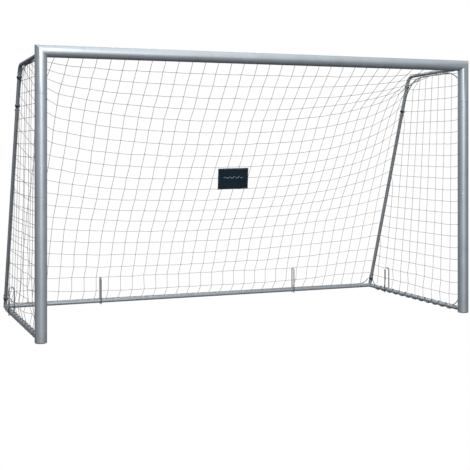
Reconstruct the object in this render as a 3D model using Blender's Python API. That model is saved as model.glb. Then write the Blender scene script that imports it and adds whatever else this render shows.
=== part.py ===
"""A garden football goal: a bolted and clipped steel tube frame with its net, ropes and ground pegs.

Run it in Blender with: blender --background --python part.py
Metres, +Z up, +X to the right along the crossbar, +Y to the back. The origin is on the ground, in the
middle of the goal's footprint. The goal opens towards -Y.
"""
import math

import bmesh
import bpy
from mathutils import Matrix, Vector

# Overall size
GOAL_WIDTH = 2.90
GOAL_HEIGHT = 1.68
FRAME_DEPTH = 1.22          # from the posts' axes to the rear ground bar's axis

# Front frame: posts and crossbar
POST_RADIUS = 0.035
POST_WALL = 0.0015
POST_SPIGOT_LENGTH = 0.080
POST_SPIGOT_GAP = 0.0003
CORNER_LEG = 0.24           # from the mitred corner's centre to each of its two seams
LOWER_SEAM_Z = 0.82
CROSSBAR_MIDDLE_LENGTH = 0.80

# Rear frame: arms, struts and ground bars
THIN_RADIUS = 0.0125
THIN_WALL = 0.0012
THIN_SPIGOT_LENGTH = 0.050
THIN_SPIGOT_GAP = 0.0005
GROUND_BAR_Z = 0.020        # the ground bars' axes
ARM_FRONT_Z = 1.633
BEND_Z = 1.615
BEND_FROM_POST = 0.66
BEND_RADIUS = 0.075
ARM_LOWER_LEG = 0.27        # from the bend's corner point down to the seam with the strut
REAR_CORNER_LEG = 0.060
REAR_MIDDLE_LENGTH = 0.92
STUB_LENGTH = 0.060         # the welded stubs that the arm and the side bar slide over
STUB_WELD_DEPTH = 0.0032    # how far a stub reaches into the round post

# Foot caps
CAP_LIP = 0.006
CAP_FLAT_RADIUS = 0.030
CAP_INSERT_RADIUS = 0.0320
CAP_INSERT_TOP = 0.036
CAP_FLOOR = 0.004
CAP_WALL = 0.0025

# Snap buttons of the large tubes
BUTTON_FROM_SEAM = 0.030
BUTTON_RADIUS = 0.0045
BUTTON_HOLE_RADIUS = 0.0050
BUTTON_STAND = 0.003        # how far a button's face stands proud of the tube
BUTTON_FLANGE_RADIUS = 0.0065
BUTTON_FLANGE_THICKNESS = 0.0012
BUTTON_FLANGE_GAP = 0.0012
BUTTON_TRAVEL = 0.0045
CLIP_LENGTH = 0.045
CLIP_WIDTH = 0.010
CLIP_THICKNESS = 0.0010

# Bolts of the thin tubes
BOLT_RADIUS = 0.0030
BOLT_HOLE_RADIUS = 0.0034
BOLT_HEAD_RADIUS = 0.0055
BOLT_HEAD_HEIGHT = 0.0040
BOLT_TAIL = 0.0015
BOLT_FROM_SEAM = 0.025

# Ground pegs
PEG_LENGTH = 0.190
PEG_RADIUS = 0.00375
PEG_LEG_SPACING = 0.034
PEG_SIDE_FROM_REAR = 0.256
PEG_REAR_X = 0.75

# Net, label and ropes
NET_THICKNESS = 0.002
NET_INSET = 0.029           # from the side frame's plane to the side nets
NET_LOW_Z = 0.034
NET_FRONT_GAP = 0.046       # from the posts' axes to the nets' front edges
NET_FOLD_BACK = 0.33        # where the hanging back net turns steeper, as shares of its way
NET_FOLD_DOWN = 0.20        # back and of its way down
LABEL_SIZE = (0.220, 0.140, 0.0015)
LABEL_X = 0.045
LABEL_Z = 0.890
ROPE_RADIUS = 0.0035
ROPE_GAP = 0.0008
CROSSBAR_ROPE_ANGLE = math.radians(25)

TOUCH_GAP = 0.0003
POST_SEGMENTS = 24
THIN_SEGMENTS = 12
THIN_BEVEL_RESOLUTION = 4   # 12 sides, the same as THIN_SEGMENTS

# Derived places
POST_X = GOAL_WIDTH / 2 - POST_RADIUS
CROSSBAR_Z = GOAL_HEIGHT - POST_RADIUS
PEG_REACH = PEG_LEG_SPACING / 2 + PEG_RADIUS
POST_Y = (POST_RADIUS - FRAME_DEPTH - PEG_REACH) / 2
REAR_Y = POST_Y + FRAME_DEPTH
UPPER_SEAM_Z = CROSSBAR_Z - CORNER_LEG
THIN_SPIGOT_RADIUS = THIN_RADIUS - THIN_WALL - THIN_SPIGOT_GAP
POST_SPIGOT_RADIUS = POST_RADIUS - POST_WALL - POST_SPIGOT_GAP
ROPE_OFFSET = THIN_RADIUS + ROPE_RADIUS + ROPE_GAP
BEND_Y = POST_Y + BEND_FROM_POST
TUBE_FRONT_Y = POST_Y + POST_RADIUS + 3 * TOUCH_GAP     # the arms' and side bars' front ends
ARM_DIRECTION = Vector((0, BEND_Y - TUBE_FRONT_Y, BEND_Z - ARM_FRONT_Z)).normalized()
STRUT_DIRECTION = Vector((0, BEND_Y - REAR_Y, BEND_Z - GROUND_BAR_Z)).normalized()
STRUT_LENGTH = Vector((0, BEND_Y - REAR_Y, BEND_Z - GROUND_BAR_Z)).length
STRUT_FRONT = Vector((0, -STRUT_DIRECTION.z, STRUT_DIRECTION.y))  # square to the strut, to the front
SIDES = (("left", -1), ("right", 1))
UP = Vector((0, 0, 1))
BACK = Vector((0, 1, 0))


# ---------------------------------------------------------------- scene and helpers

def clear_scene():
    for thing in list(bpy.data.objects):
        bpy.data.objects.remove(thing, do_unlink=True)


def new_collection(name):
    collection = bpy.data.collections.new(name)
    bpy.context.scene.collection.children.link(collection)
    return collection


def new_material(name, colour, metallic, roughness):
    material = bpy.data.materials.new(name)
    material.use_nodes = True
    shader = material.node_tree.nodes["Principled BSDF"]
    shader.inputs["Base Color"].default_value = (*colour, 1.0)
    shader.inputs["Metallic"].default_value = metallic
    shader.inputs["Roughness"].default_value = roughness
    material.diffuse_color = (*colour, 1.0)
    return material


def place(position, direction, twist=0.0):
    """The matrix that puts a piece built along +Z at a position, along a direction."""
    turn = UP.rotation_difference(Vector(direction).normalized()).to_matrix().to_4x4()
    return Matrix.Translation(Vector(position)) @ turn @ Matrix.Rotation(twist, 4, "Z")


def add_object(name, mesh, collection, material=None, matrix=None):
    thing = bpy.data.objects.new(name, mesh)
    collection.objects.link(thing)
    if matrix is not None:
        thing.matrix_world = matrix
    if material is not None and not mesh.materials:
        mesh.materials.append(material)
    return thing


def mesh_from(bm, name, smooth=True):
    bmesh.ops.remove_doubles(bm, verts=bm.verts, dist=0.000001)
    bmesh.ops.recalc_face_normals(bm, faces=bm.faces)
    mesh = bpy.data.meshes.new(name)
    bm.to_mesh(mesh)
    bm.free()
    if smooth:
        mesh.shade_smooth()
        mesh.set_sharp_from_angle(angle=math.radians(35))
    return mesh


def spin_outline(outline, segments, closed):
    """Turns an outline of (radius, height) points about Z."""
    bm = bmesh.new()
    points = [bm.verts.new((radius, 0, height)) for radius, height in outline]
    for first, second in zip(points, points[1:]):
        bm.edges.new((first, second))
    if closed:
        bm.edges.new((points[-1], points[0]))
    bmesh.ops.spin(bm, geom=list(bm.verts) + list(bm.edges), cent=(0, 0, 0), axis=(0, 0, 1),
                   angle=math.tau, steps=segments, use_merge=True)
    bmesh.ops.remove_doubles(bm, verts=bm.verts, dist=0.000001)
    return bm


def cylinder_mesh(name, radius, length, segments, low=0.0):
    """A plain cylinder along +Z, from the height low upwards."""
    bm = bmesh.new()
    middle = Matrix.Translation((0, 0, low + length / 2))
    bmesh.ops.create_cone(bm, cap_ends=True, segments=segments, radius1=radius, radius2=radius,
                          depth=length, matrix=middle)
    return mesh_from(bm, name)


def box_mesh(name, size, matrix=None):
    bm = bmesh.new()
    scale = Matrix.Diagonal((*size, 1.0))
    bmesh.ops.create_cube(bm, size=1.0, matrix=(matrix or Matrix()) @ scale)
    return mesh_from(bm, name, smooth=False)


def rod_object(name, points, radius, collection, resolution=THIN_BEVEL_RESOLUTION):
    """A round rod along a chain of points: a bevelled curve made into a closed mesh."""
    curve = bpy.data.curves.new(name + "_route", "CURVE")
    curve.dimensions = "3D"
    curve.bevel_depth = radius
    curve.bevel_resolution = resolution
    curve.use_fill_caps = True
    spline = curve.splines.new("POLY")
    spline.points.add(len(points) - 1)
    for target, point in zip(spline.points, points):
        target.co = (*point, 1.0)
    guide = bpy.data.objects.new(name + "_route", curve)
    collection.objects.link(guide)
    depsgraph = bpy.context.evaluated_depsgraph_get()
    mesh = bpy.data.meshes.new_from_object(guide.evaluated_get(depsgraph))
    matrix = guide.matrix_world.copy()
    bpy.data.objects.remove(guide, do_unlink=True)
    bm = bmesh.new()
    bm.from_mesh(mesh)
    bpy.data.meshes.remove(mesh)
    mesh = mesh_from(bm, name)
    return add_object(name, mesh, collection, matrix=matrix)


def combine(thing, tool, operation):
    """Joins a tool to a piece, or cuts it away; the tool stays as a hidden wire object."""
    tool.hide_render = True
    tool.display_type = "WIRE"
    modifier = thing.modifiers.new(tool.name, "BOOLEAN")
    modifier.operation = operation
    modifier.solver = "EXACT"
    modifier.object = tool


def smooth_route(points, per_span):
    """Points read along a smooth curve that passes through the given ones."""
    chain = [points[0] * 2 - points[1], *points, points[-1] * 2 - points[-2]]
    route = []
    for a, b, c, d in zip(chain, chain[1:], chain[2:], chain[3:]):
        for step in range(per_span):
            t = step / per_span
            route.append(0.5 * (2 * b + (c - a) * t + (2 * a - 5 * b + 4 * c - d) * t ** 2
                                + (3 * b - a - 3 * c + d) * t ** 3))
    route.append(points[-1].copy())
    return route


# ---------------------------------------------------------------- tube shapes

def tube_outline(radius, wall, length, spigot_radius, spigot_length, low_spigot, high_spigot):
    """The wall of a tube along +Z from 0 to length, with a swaged spigot at either end."""
    shoulder = radius - spigot_radius
    if high_spigot:
        end = length - TOUCH_GAP
        top = length + spigot_length
        outer = [(radius, end - shoulder), (spigot_radius, end), (spigot_radius, top)]
        inner = [(spigot_radius - wall, top), (spigot_radius - wall, end - shoulder),
                 (radius - wall, end - 2 * shoulder)]
    else:
        outer = [(radius, length)]
        inner = [(radius - wall, length)]
    if low_spigot:
        end = TOUCH_GAP
        outer = [(spigot_radius, -spigot_length), (spigot_radius, end), (radius, end + shoulder)] + outer
        inner += [(radius - wall, end + 2 * shoulder), (spigot_radius - wall, end + shoulder),
                  (spigot_radius - wall, -spigot_length)]
    else:
        outer = [(radius, 0)] + outer
        inner += [(radius - wall, 0)]
    return outer + inner


def post_tube_mesh(name, length, low_spigot=False, high_spigot=False):
    outline = tube_outline(POST_RADIUS, POST_WALL, length, POST_SPIGOT_RADIUS, POST_SPIGOT_LENGTH,
                           low_spigot, high_spigot)
    return mesh_from(spin_outline(outline, POST_SEGMENTS, True), name)


def thin_tube_mesh(name, length, low_spigot=False, high_spigot=False):
    outline = tube_outline(THIN_RADIUS, THIN_WALL, length, THIN_SPIGOT_RADIUS, THIN_SPIGOT_LENGTH,
                           low_spigot, high_spigot)
    return mesh_from(spin_outline(outline, THIN_SEGMENTS, True), name)


def stub_tool(name, start, direction, tools):
    """A welded stub that a thin tube slides over; start is where it leaves the round post."""
    end = STUB_LENGTH + STUB_WELD_DEPTH
    floor = 2 * STUB_WELD_DEPTH
    bore = THIN_SPIGOT_RADIUS - THIN_WALL
    outline = [(0, 0), (THIN_SPIGOT_RADIUS, 0), (THIN_SPIGOT_RADIUS, end), (bore, end), (bore, floor),
               (0, floor)]
    mesh = mesh_from(spin_outline(outline, THIN_SEGMENTS, False), name)
    return add_object(name, mesh, tools, matrix=place(start - direction * STUB_WELD_DEPTH, direction))


# ---------------------------------------------------------------- the front frame

def corner_mesh(name, side):
    """A mitred corner: half of it is a cut tube, mirrored across the 45 degree mitre."""
    outline = tube_outline(POST_RADIUS, POST_WALL, CORNER_LEG + 2 * POST_RADIUS, POST_SPIGOT_RADIUS,
                           POST_SPIGOT_LENGTH, True, False)
    bm = spin_outline(outline, POST_SEGMENTS, True)
    centre = Vector((0, 0, CORNER_LEG))
    normal = Vector((-side, 0, 1)).normalized()
    bmesh.ops.bisect_plane(bm, geom=list(bm.verts) + list(bm.edges) + list(bm.faces), dist=0.000001,
                           plane_co=centre, plane_no=normal, clear_outer=True)
    copied = bmesh.ops.duplicate(bm, geom=list(bm.verts) + list(bm.edges) + list(bm.faces))
    moved = [item for item in copied["geom"] if isinstance(item, bmesh.types.BMVert)]
    for vert in moved:
        vert.co -= 2 * (vert.co - centre).dot(normal) * normal
    bmesh.ops.remove_doubles(bm, verts=bm.verts, dist=0.00001)
    return mesh_from(bm, name)


def make_corners(parts, tools, material):
    corners = {}
    for word, side in SIDES:
        name = "corner_" + word
        matrix = Matrix.Translation((side * POST_X, POST_Y, UPPER_SEAM_Z))
        corner = add_object(name, corner_mesh(name, side), parts, material, matrix)
        start = Vector((side * POST_X, TUBE_FRONT_Y, ARM_FRONT_Z))
        stub = stub_tool("arm_stub_" + word, start, ARM_DIRECTION, tools)
        combine(corner, stub, "UNION")
        corners[word] = corner
    return corners


def make_crossbar(parts, material):
    outer = POST_X - CORNER_LEG
    half = CROSSBAR_MIDDLE_LENGTH / 2
    sections = (("left", -outer, outer - half, False), ("middle", -half, 2 * half, True),
                ("right", half, outer - half, False))
    bar = {}
    for word, start, length, spigots in sections:
        name = "crossbar_" + word
        mesh = post_tube_mesh(name, length, spigots, spigots)
        bar[word] = add_object(name, mesh, parts, material, place((start, POST_Y, CROSSBAR_Z), (1, 0, 0)))
    return bar


def make_posts(parts, tools, material):
    uppers = {}
    lowers = {}
    for word, side in SIDES:
        name = "post_upper_" + word
        mesh = post_tube_mesh(name, UPPER_SEAM_Z - LOWER_SEAM_Z, low_spigot=True)
        uppers[word] = add_object(name, mesh, parts, material,
                                  Matrix.Translation((side * POST_X, POST_Y, LOWER_SEAM_Z)))
        name = "post_lower_" + word
        mesh = post_tube_mesh(name, LOWER_SEAM_Z - CAP_LIP)
        lower = add_object(name, mesh, parts, material, Matrix.Translation((side * POST_X, POST_Y, CAP_LIP)))
        start = Vector((side * POST_X, TUBE_FRONT_Y, GROUND_BAR_Z))
        stub = stub_tool("bar_stub_" + word, start, BACK, tools)
        combine(lower, stub, "UNION")
        lowers[word] = lower
    return uppers, lowers


def make_foot_caps(parts, material):
    """Moulded caps that close the posts' feet: a rounded lip below, a hollow plug inside."""
    lip_top = CAP_LIP - TOUCH_GAP
    rounding = POST_RADIUS - CAP_FLAT_RADIUS
    outline = [(0, 0)]
    for step in range(5):
        angle = math.pi / 2 * step / 4
        outline.append((CAP_FLAT_RADIUS + rounding * math.sin(angle),
                        rounding - rounding * math.cos(angle)))
    outline += [(POST_RADIUS, lip_top), (CAP_INSERT_RADIUS, lip_top), (CAP_INSERT_RADIUS, CAP_INSERT_TOP),
                (CAP_INSERT_RADIUS - CAP_WALL, CAP_INSERT_TOP), (CAP_INSERT_RADIUS - CAP_WALL, CAP_FLOOR),
                (0, CAP_FLOOR)]
    for word, side in SIDES:
        name = "foot_cap_" + word
        mesh = mesh_from(spin_outline(outline, POST_SEGMENTS, False), name)
        add_object(name, mesh, parts, material, Matrix.Translation((side * POST_X, POST_Y, 0)))


# ---------------------------------------------------------------- the rear frame

def arm_route(side):
    """The arm's axis from the post, through the bend, to its seam with the strut."""
    start = Vector((side * POST_X, TUBE_FRONT_Y, ARM_FRONT_Z))
    corner = Vector((side * POST_X, BEND_Y, BEND_Z))
    front = (start - corner).normalized()
    down = -STRUT_DIRECTION
    half_angle = front.angle(down) / 2
    middle = corner + (front + down).normalized() * BEND_RADIUS / math.sin(half_angle)
    tangent = BEND_RADIUS / math.tan(half_angle)
    first = (corner + front * tangent - middle).normalized()
    last = (corner + down * tangent - middle).normalized()
    route = [start]
    for step in range(9):
        route.append(middle + first.slerp(last, step / 8) * BEND_RADIUS)
    route.append(corner + down * (ARM_LOWER_LEG - TOUCH_GAP))
    return route


def make_arms(parts, tools, material):
    arms = {}
    for word, side in SIDES:
        name = "side_arm_" + word
        route = arm_route(side)
        arm = rod_object(name, route, THIN_RADIUS, parts)
        arm.data.materials.append(material)
        down = (route[-1] - route[-2]).normalized()
        spigot = rod_object("arm_spigot_" + word, [route[-1] - down * 0.02,
                                                   route[-1] + down * THIN_SPIGOT_LENGTH],
                            THIN_SPIGOT_RADIUS, tools)
        combine(arm, spigot, "UNION")
        ahead = route[0] + (route[0] - route[1]).normalized() * 0.01
        bore = rod_object("arm_bore_" + word, [ahead] + route[1:-1] + [route[-1] - down * 0.004],
                          THIN_RADIUS - THIN_WALL, tools)
        combine(arm, bore, "DIFFERENCE")
        end_bore = rod_object("arm_end_bore_" + word, [route[-1] - down * 0.015,
                                                       route[-1] + down * (THIN_SPIGOT_LENGTH + 0.01)],
                              THIN_SPIGOT_RADIUS - THIN_WALL, tools)
        combine(arm, end_bore, "DIFFERENCE")
        arms[word] = arm
    return arms


def make_struts(parts, material):
    length = STRUT_LENGTH - ARM_LOWER_LEG - REAR_CORNER_LEG
    struts = {}
    for word, side in SIDES:
        name = "rear_strut_" + word
        foot = Vector((side * POST_X, REAR_Y, GROUND_BAR_Z)) + STRUT_DIRECTION * REAR_CORNER_LEG
        struts[word] = add_object(name, thin_tube_mesh(name, length), parts, material,
                                  place(foot, STRUT_DIRECTION))
    return struts


def make_side_bars(parts, material):
    length = REAR_Y - REAR_CORNER_LEG - TUBE_FRONT_Y
    bars = {}
    for word, side in SIDES:
        name = "side_bar_" + word
        bars[word] = add_object(name, thin_tube_mesh(name, length), parts, material,
                                place((side * POST_X, TUBE_FRONT_Y, GROUND_BAR_Z), BACK))
    return bars


def make_rear_bar(parts, material):
    outer = POST_X - REAR_CORNER_LEG
    half = REAR_MIDDLE_LENGTH / 2
    sections = (("left", -outer, outer - half, False), ("middle", -half, 2 * half, True),
                ("right", half, outer - half, False))
    bar = {}
    for word, start, length, spigots in sections:
        name = "rear_bar_" + word
        bar[word] = add_object(name, thin_tube_mesh(name, length, spigots, spigots), parts, material,
                               place((start, REAR_Y, GROUND_BAR_Z), (1, 0, 0)))
    return bar


def make_rear_corners(parts, tools, material):
    """Three short welded tubes that meet at a rounded point, each with a spigot at its end."""
    corners = {}
    leg_end = REAR_CORNER_LEG - TOUCH_GAP
    for word, side in SIDES:
        name = "rear_corner_" + word
        node = Vector((side * POST_X, REAR_Y, GROUND_BAR_Z))
        legs = (("bar", Vector((-side, 0, 0))), ("side", -BACK), ("strut", STRUT_DIRECTION))
        bm = bmesh.new()
        bmesh.ops.create_uvsphere(bm, u_segments=THIN_SEGMENTS, v_segments=8, radius=THIN_RADIUS * 1.02)
        corner = add_object(name, mesh_from(bm, name), parts, material, Matrix.Translation(node))
        outline = [(0, 0), (THIN_RADIUS, 0), (THIN_RADIUS, leg_end - THIN_RADIUS + THIN_SPIGOT_RADIUS),
                   (THIN_SPIGOT_RADIUS, leg_end),
                   (THIN_SPIGOT_RADIUS, REAR_CORNER_LEG + THIN_SPIGOT_LENGTH),
                   (0, REAR_CORNER_LEG + THIN_SPIGOT_LENGTH)]
        for leg, direction in legs:
            tool_name = "leg_" + leg + "_" + word
            mesh = mesh_from(spin_outline(outline, THIN_SEGMENTS, False), tool_name)
            combine(corner, add_object(tool_name, mesh, tools, matrix=place(node, direction)), "UNION")
        bore = cylinder_mesh("corner_bore", THIN_SPIGOT_RADIUS - THIN_WALL,
                             REAR_CORNER_LEG + THIN_SPIGOT_LENGTH, THIN_SEGMENTS, THIN_RADIUS * 2.2)
        for leg, direction in legs:
            tool = add_object("bore_" + leg + "_" + word, bore, tools, matrix=place(node, direction))
            combine(corner, tool, "DIFFERENCE")
        corners[word] = corner
    return corners


# ---------------------------------------------------------------- buttons, bolts and pegs

def button_mesh():
    """A spring clip's button along +Z, with z = 0 on the tube's axis; the clip runs along +X."""
    seat = POST_SPIGOT_RADIUS - POST_WALL - BUTTON_FLANGE_GAP
    face = POST_RADIUS + BUTTON_STAND
    outline = [(0, seat - BUTTON_FLANGE_THICKNESS), (BUTTON_FLANGE_RADIUS, seat - BUTTON_FLANGE_THICKNESS),
               (BUTTON_FLANGE_RADIUS, seat), (BUTTON_RADIUS, seat), (BUTTON_RADIUS, face - 0.0015),
               (BUTTON_RADIUS * 0.85, face - 0.0004), (BUTTON_RADIUS * 0.4, face), (0, face)]
    return mesh_from(spin_outline(outline, THIN_SEGMENTS, False), "snap_button")


def clip_leg_mesh(name, start, end):
    """One leg of the clip's strip, as a thin bar between two points of the XZ plane."""
    run = Vector(end) - Vector(start)
    matrix = place((Vector(start) + Vector(end)) / 2, run)
    return box_mesh(name, (CLIP_THICKNESS, CLIP_WIDTH, run.length), matrix)


def make_buttons(parts, tools, material, tubes):
    """A clip in each joint of the large tubes; its hole goes through the socket and the spigot."""
    seat = POST_SPIGOT_RADIUS - POST_WALL - BUTTON_FLANGE_GAP - BUTTON_FLANGE_THICKNESS / 2
    far = -(POST_SPIGOT_RADIUS - POST_WALL - BUTTON_TRAVEL - 0.002)
    near_leg = clip_leg_mesh("clip_near_leg", (-0.004, 0, seat), (CLIP_LENGTH, 0, 0))
    far_leg = clip_leg_mesh("clip_far_leg", (CLIP_LENGTH, 0, 0.0006), (0, 0, far))
    hole = cylinder_mesh("button_hole", BUTTON_HOLE_RADIUS, 0.025, THIN_SEGMENTS, 0.020)
    body = button_mesh()
    for name, seam, into_socket, facing, outer_tube, inner_tube in button_places(tubes):
        centre = seam + into_socket * BUTTON_FROM_SEAM
        along = -into_socket
        across = facing.cross(along)
        matrix = Matrix((along, across, facing)).transposed().to_4x4()
        matrix.translation = centre
        button = add_object("snap_button_" + name, body.copy(), parts, material, matrix)
        combine(button, add_object("near_leg_" + name, near_leg, tools, matrix=matrix), "UNION")
        combine(button, add_object("far_leg_" + name, far_leg, tools, matrix=matrix), "UNION")
        for number, tube in enumerate((outer_tube, inner_tube)):
            tool = add_object("button_hole_%s_%d" % (name, number), hole, tools, matrix=matrix)
            combine(tube, tool, "DIFFERENCE")


def button_places(tubes):
    """Each joint of the large tubes: name, seam, way into the socket, facing, socket and spigot."""
    places = []
    for word, side in SIDES:
        facing = Vector((-side, -1, 0)).normalized()
        places.append(("post_top_" + word, Vector((side * POST_X, POST_Y, UPPER_SEAM_Z)), -UP, facing,
                       tubes["post_upper"][word], tubes["corner"][word]))
        places.append(("post_middle_" + word, Vector((side * POST_X, POST_Y, LOWER_SEAM_Z)), -UP, facing,
                       tubes["post_lower"][word], tubes["post_upper"][word]))
        inward = Vector((-side, 0, 0))
        places.append(("crossbar_end_" + word, Vector((side * (POST_X - CORNER_LEG), POST_Y, CROSSBAR_Z)),
                       inward, BACK, tubes["crossbar"][word], tubes["corner"][word]))
        places.append(("crossbar_inner_" + word,
                       Vector((side * CROSSBAR_MIDDLE_LENGTH / 2, POST_Y, CROSSBAR_Z)), -inward, BACK,
                       tubes["crossbar"][word], tubes["crossbar"]["middle"]))
    return places


def bolt_mesh():
    """A hexagon bolt along +Z with its nut, centred on the thin tube that it goes through."""
    seat = THIN_RADIUS + TOUCH_GAP
    outline = [(0, -seat - BOLT_HEAD_HEIGHT - BOLT_TAIL), (BOLT_RADIUS, -seat - BOLT_HEAD_HEIGHT - BOLT_TAIL),
               (BOLT_RADIUS, seat + 0.001), (0, seat + 0.001)]
    return mesh_from(spin_outline(outline, 12, False), "bolt")


def make_bolts(parts, tools, material, tubes):
    """A bolt through each joint of the thin tubes, with its hole through both pieces."""
    seat = THIN_RADIUS + TOUCH_GAP
    shank = bolt_mesh()
    head = cylinder_mesh("bolt_head", BOLT_HEAD_RADIUS, BOLT_HEAD_HEIGHT, 6, seat)
    nut = cylinder_mesh("bolt_nut", BOLT_HEAD_RADIUS, BOLT_HEAD_HEIGHT, 6, -seat - BOLT_HEAD_HEIGHT)
    hole = cylinder_mesh("bolt_hole", BOLT_HOLE_RADIUS, 0.06, 12, -0.03)
    for name, centre, direction, outer_tube, inner_tube in bolt_places(tubes):
        matrix = place(centre, direction)
        bolt = add_object("bolt_" + name, shank.copy(), parts, material, matrix)
        combine(bolt, add_object("bolt_head_" + name, head, tools, matrix=matrix), "UNION")
        combine(bolt, add_object("bolt_nut_" + name, nut, tools, matrix=matrix), "UNION")
        for number, tube in enumerate((outer_tube, inner_tube)):
            tool = add_object("bolt_hole_%s_%d" % (name, number), hole, tools, matrix=matrix)
            combine(tube, tool, "DIFFERENCE")


def bolt_places(tubes):
    """Each joint of the thin tubes: name, place, direction of the bolt's head, socket and spigot."""
    places = []
    for word, side in SIDES:
        out = Vector((side, 0, 0))
        front = Vector((side * POST_X, TUBE_FRONT_Y, 0))
        node = Vector((side * POST_X, REAR_Y, GROUND_BAR_Z))
        bend = Vector((side * POST_X, BEND_Y, BEND_Z))
        places.append(("arm_front_" + word, front + UP * ARM_FRONT_Z + ARM_DIRECTION * STUB_LENGTH / 2,
                       out, tubes["arm"][word], tubes["corner"][word]))
        places.append(("side_bar_front_" + word, front + UP * GROUND_BAR_Z + BACK * STUB_LENGTH / 2,
                       out, tubes["side_bar"][word], tubes["post_lower"][word]))
        places.append(("strut_top_" + word, bend - STRUT_DIRECTION * (ARM_LOWER_LEG + BOLT_FROM_SEAM),
                       out, tubes["strut"][word], tubes["arm"][word]))
        places.append(("strut_foot_" + word, node + STRUT_DIRECTION * (REAR_CORNER_LEG + BOLT_FROM_SEAM),
                       out, tubes["strut"][word], tubes["rear_corner"][word]))
        places.append(("side_bar_rear_" + word, node - BACK * (REAR_CORNER_LEG + BOLT_FROM_SEAM),
                       out, tubes["side_bar"][word], tubes["rear_corner"][word]))
        places.append(("rear_bar_end_" + word, node - out * (REAR_CORNER_LEG + BOLT_FROM_SEAM),
                       BACK, tubes["rear_bar"][word], tubes["rear_corner"][word]))
        places.append(("rear_bar_inner_" + word,
                       Vector((side * (REAR_MIDDLE_LENGTH / 2 + BOLT_FROM_SEAM), REAR_Y, GROUND_BAR_Z)),
                       BACK, tubes["rear_bar"][word], tubes["rear_bar"]["middle"]))
    return places


def make_pegs(parts, material):
    """Bent wire pegs that straddle the ground bars, with their tips on the ground."""
    half = PEG_LEG_SPACING / 2
    crown = PEG_LENGTH - PEG_RADIUS - half
    places = [("peg_" + word, Vector((side * POST_X, REAR_Y - PEG_SIDE_FROM_REAR, 0)), Vector((1, 0, 0)))
              for word, side in SIDES]
    places += [("peg_rear_" + word, Vector((side * PEG_REAR_X, REAR_Y, 0)), BACK) for word, side in SIDES]
    for name, centre, across in places:
        route = [centre - across * half]
        for step in range(9):
            angle = math.pi * step / 8
            route.append(centre - across * half * math.cos(angle) + UP * (crown + half * math.sin(angle)))
        route.append(centre + across * half)
        peg = rod_object(name, route, PEG_RADIUS, parts, resolution=4)
        peg.data.materials.append(material)


# ---------------------------------------------------------------- net, label and ropes

def plate_between(name, corners, thickness, collection, material):
    """A thin flat plate: four corners filled, then thickened on both sides."""
    bm = bmesh.new()
    verts = [bm.verts.new(corner) for corner in corners]
    face = bm.faces.new(verts)
    face.normal_update()
    normal = face.normal.copy()
    pushed = bmesh.ops.extrude_face_region(bm, geom=[face])
    for item in pushed["geom"]:
        if isinstance(item, bmesh.types.BMVert):
            item.co += normal * thickness / 2
    for vert in verts:
        vert.co -= normal * thickness / 2
    return add_object(name, mesh_from(bm, name, smooth=False), collection, material)


def net_corner_places():
    """The places, as (y, z), that the side net is stretched between, and the back net's fold."""
    front = POST_Y + NET_FRONT_GAP
    inside = NET_INSET / math.tan(STRUT_DIRECTION.angle(BACK) / 2)
    lean = STRUT_DIRECTION.y / STRUT_DIRECTION.z
    rear = REAR_Y - NET_INSET + (NET_LOW_Z - GROUND_BAR_Z) * lean
    top = ARM_FRONT_Z - NET_INSET
    fold = (front + NET_FOLD_BACK * (rear - front), top - NET_FOLD_DOWN * (top - NET_LOW_Z))
    return {"front_top": (front, top),
            "bend": (BEND_Y - inside, BEND_Z - NET_INSET),
            "fold": fold,
            "rear_low": (rear, NET_LOW_Z),
            "front_low": (front, NET_LOW_Z)}


def make_nets(parts, material):
    spots = net_corner_places()
    for word, side in SIDES:
        x = side * (POST_X - NET_INSET)
        corners = [Vector((x, *spots[key])) for key in ("front_low", "rear_low", "bend", "front_top")]
        plate_between("net_" + word, corners, NET_THICKNESS, parts, material)
    half = POST_X - NET_INSET - 2 * NET_THICKNESS
    step = BACK * 3 * NET_THICKNESS
    rise = UP * NET_THICKNESS
    edges = {key: Vector((0, *spot)) for key, spot in spots.items()}
    across = Vector((half, 0, 0))
    roof = [edges["front_top"] + rise, edges["fold"] - step + rise]
    back = [edges["fold"] + step / 3 - rise, edges["rear_low"] - step / 3 + rise]
    plate_between("net_roof", [roof[0] - across, roof[0] + across, roof[1] + across, roof[1] - across],
                  NET_THICKNESS, parts, material)
    plate_between("net_back", [back[0] - across, back[0] + across, back[1] + across, back[1] - across],
                  NET_THICKNESS, parts, material)
    return back


def make_label(parts, material, back_edge):
    """A sewn label that lies on the back net's inner face."""
    top, foot = back_edge
    slope = (top - foot).normalized()
    centre = foot + slope * (LABEL_Z - foot.z) / slope.z
    outwards = Vector((0, -slope.z, slope.y))
    centre += outwards * (NET_THICKNESS / 2 + LABEL_SIZE[2] / 2 + TOUCH_GAP) + Vector((LABEL_X, 0, 0))
    matrix = Matrix((Vector((1, 0, 0)), slope, outwards)).transposed().to_4x4()
    matrix.translation = centre
    add_object("net_label", box_mesh("net_label", LABEL_SIZE), parts, material, matrix)


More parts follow.
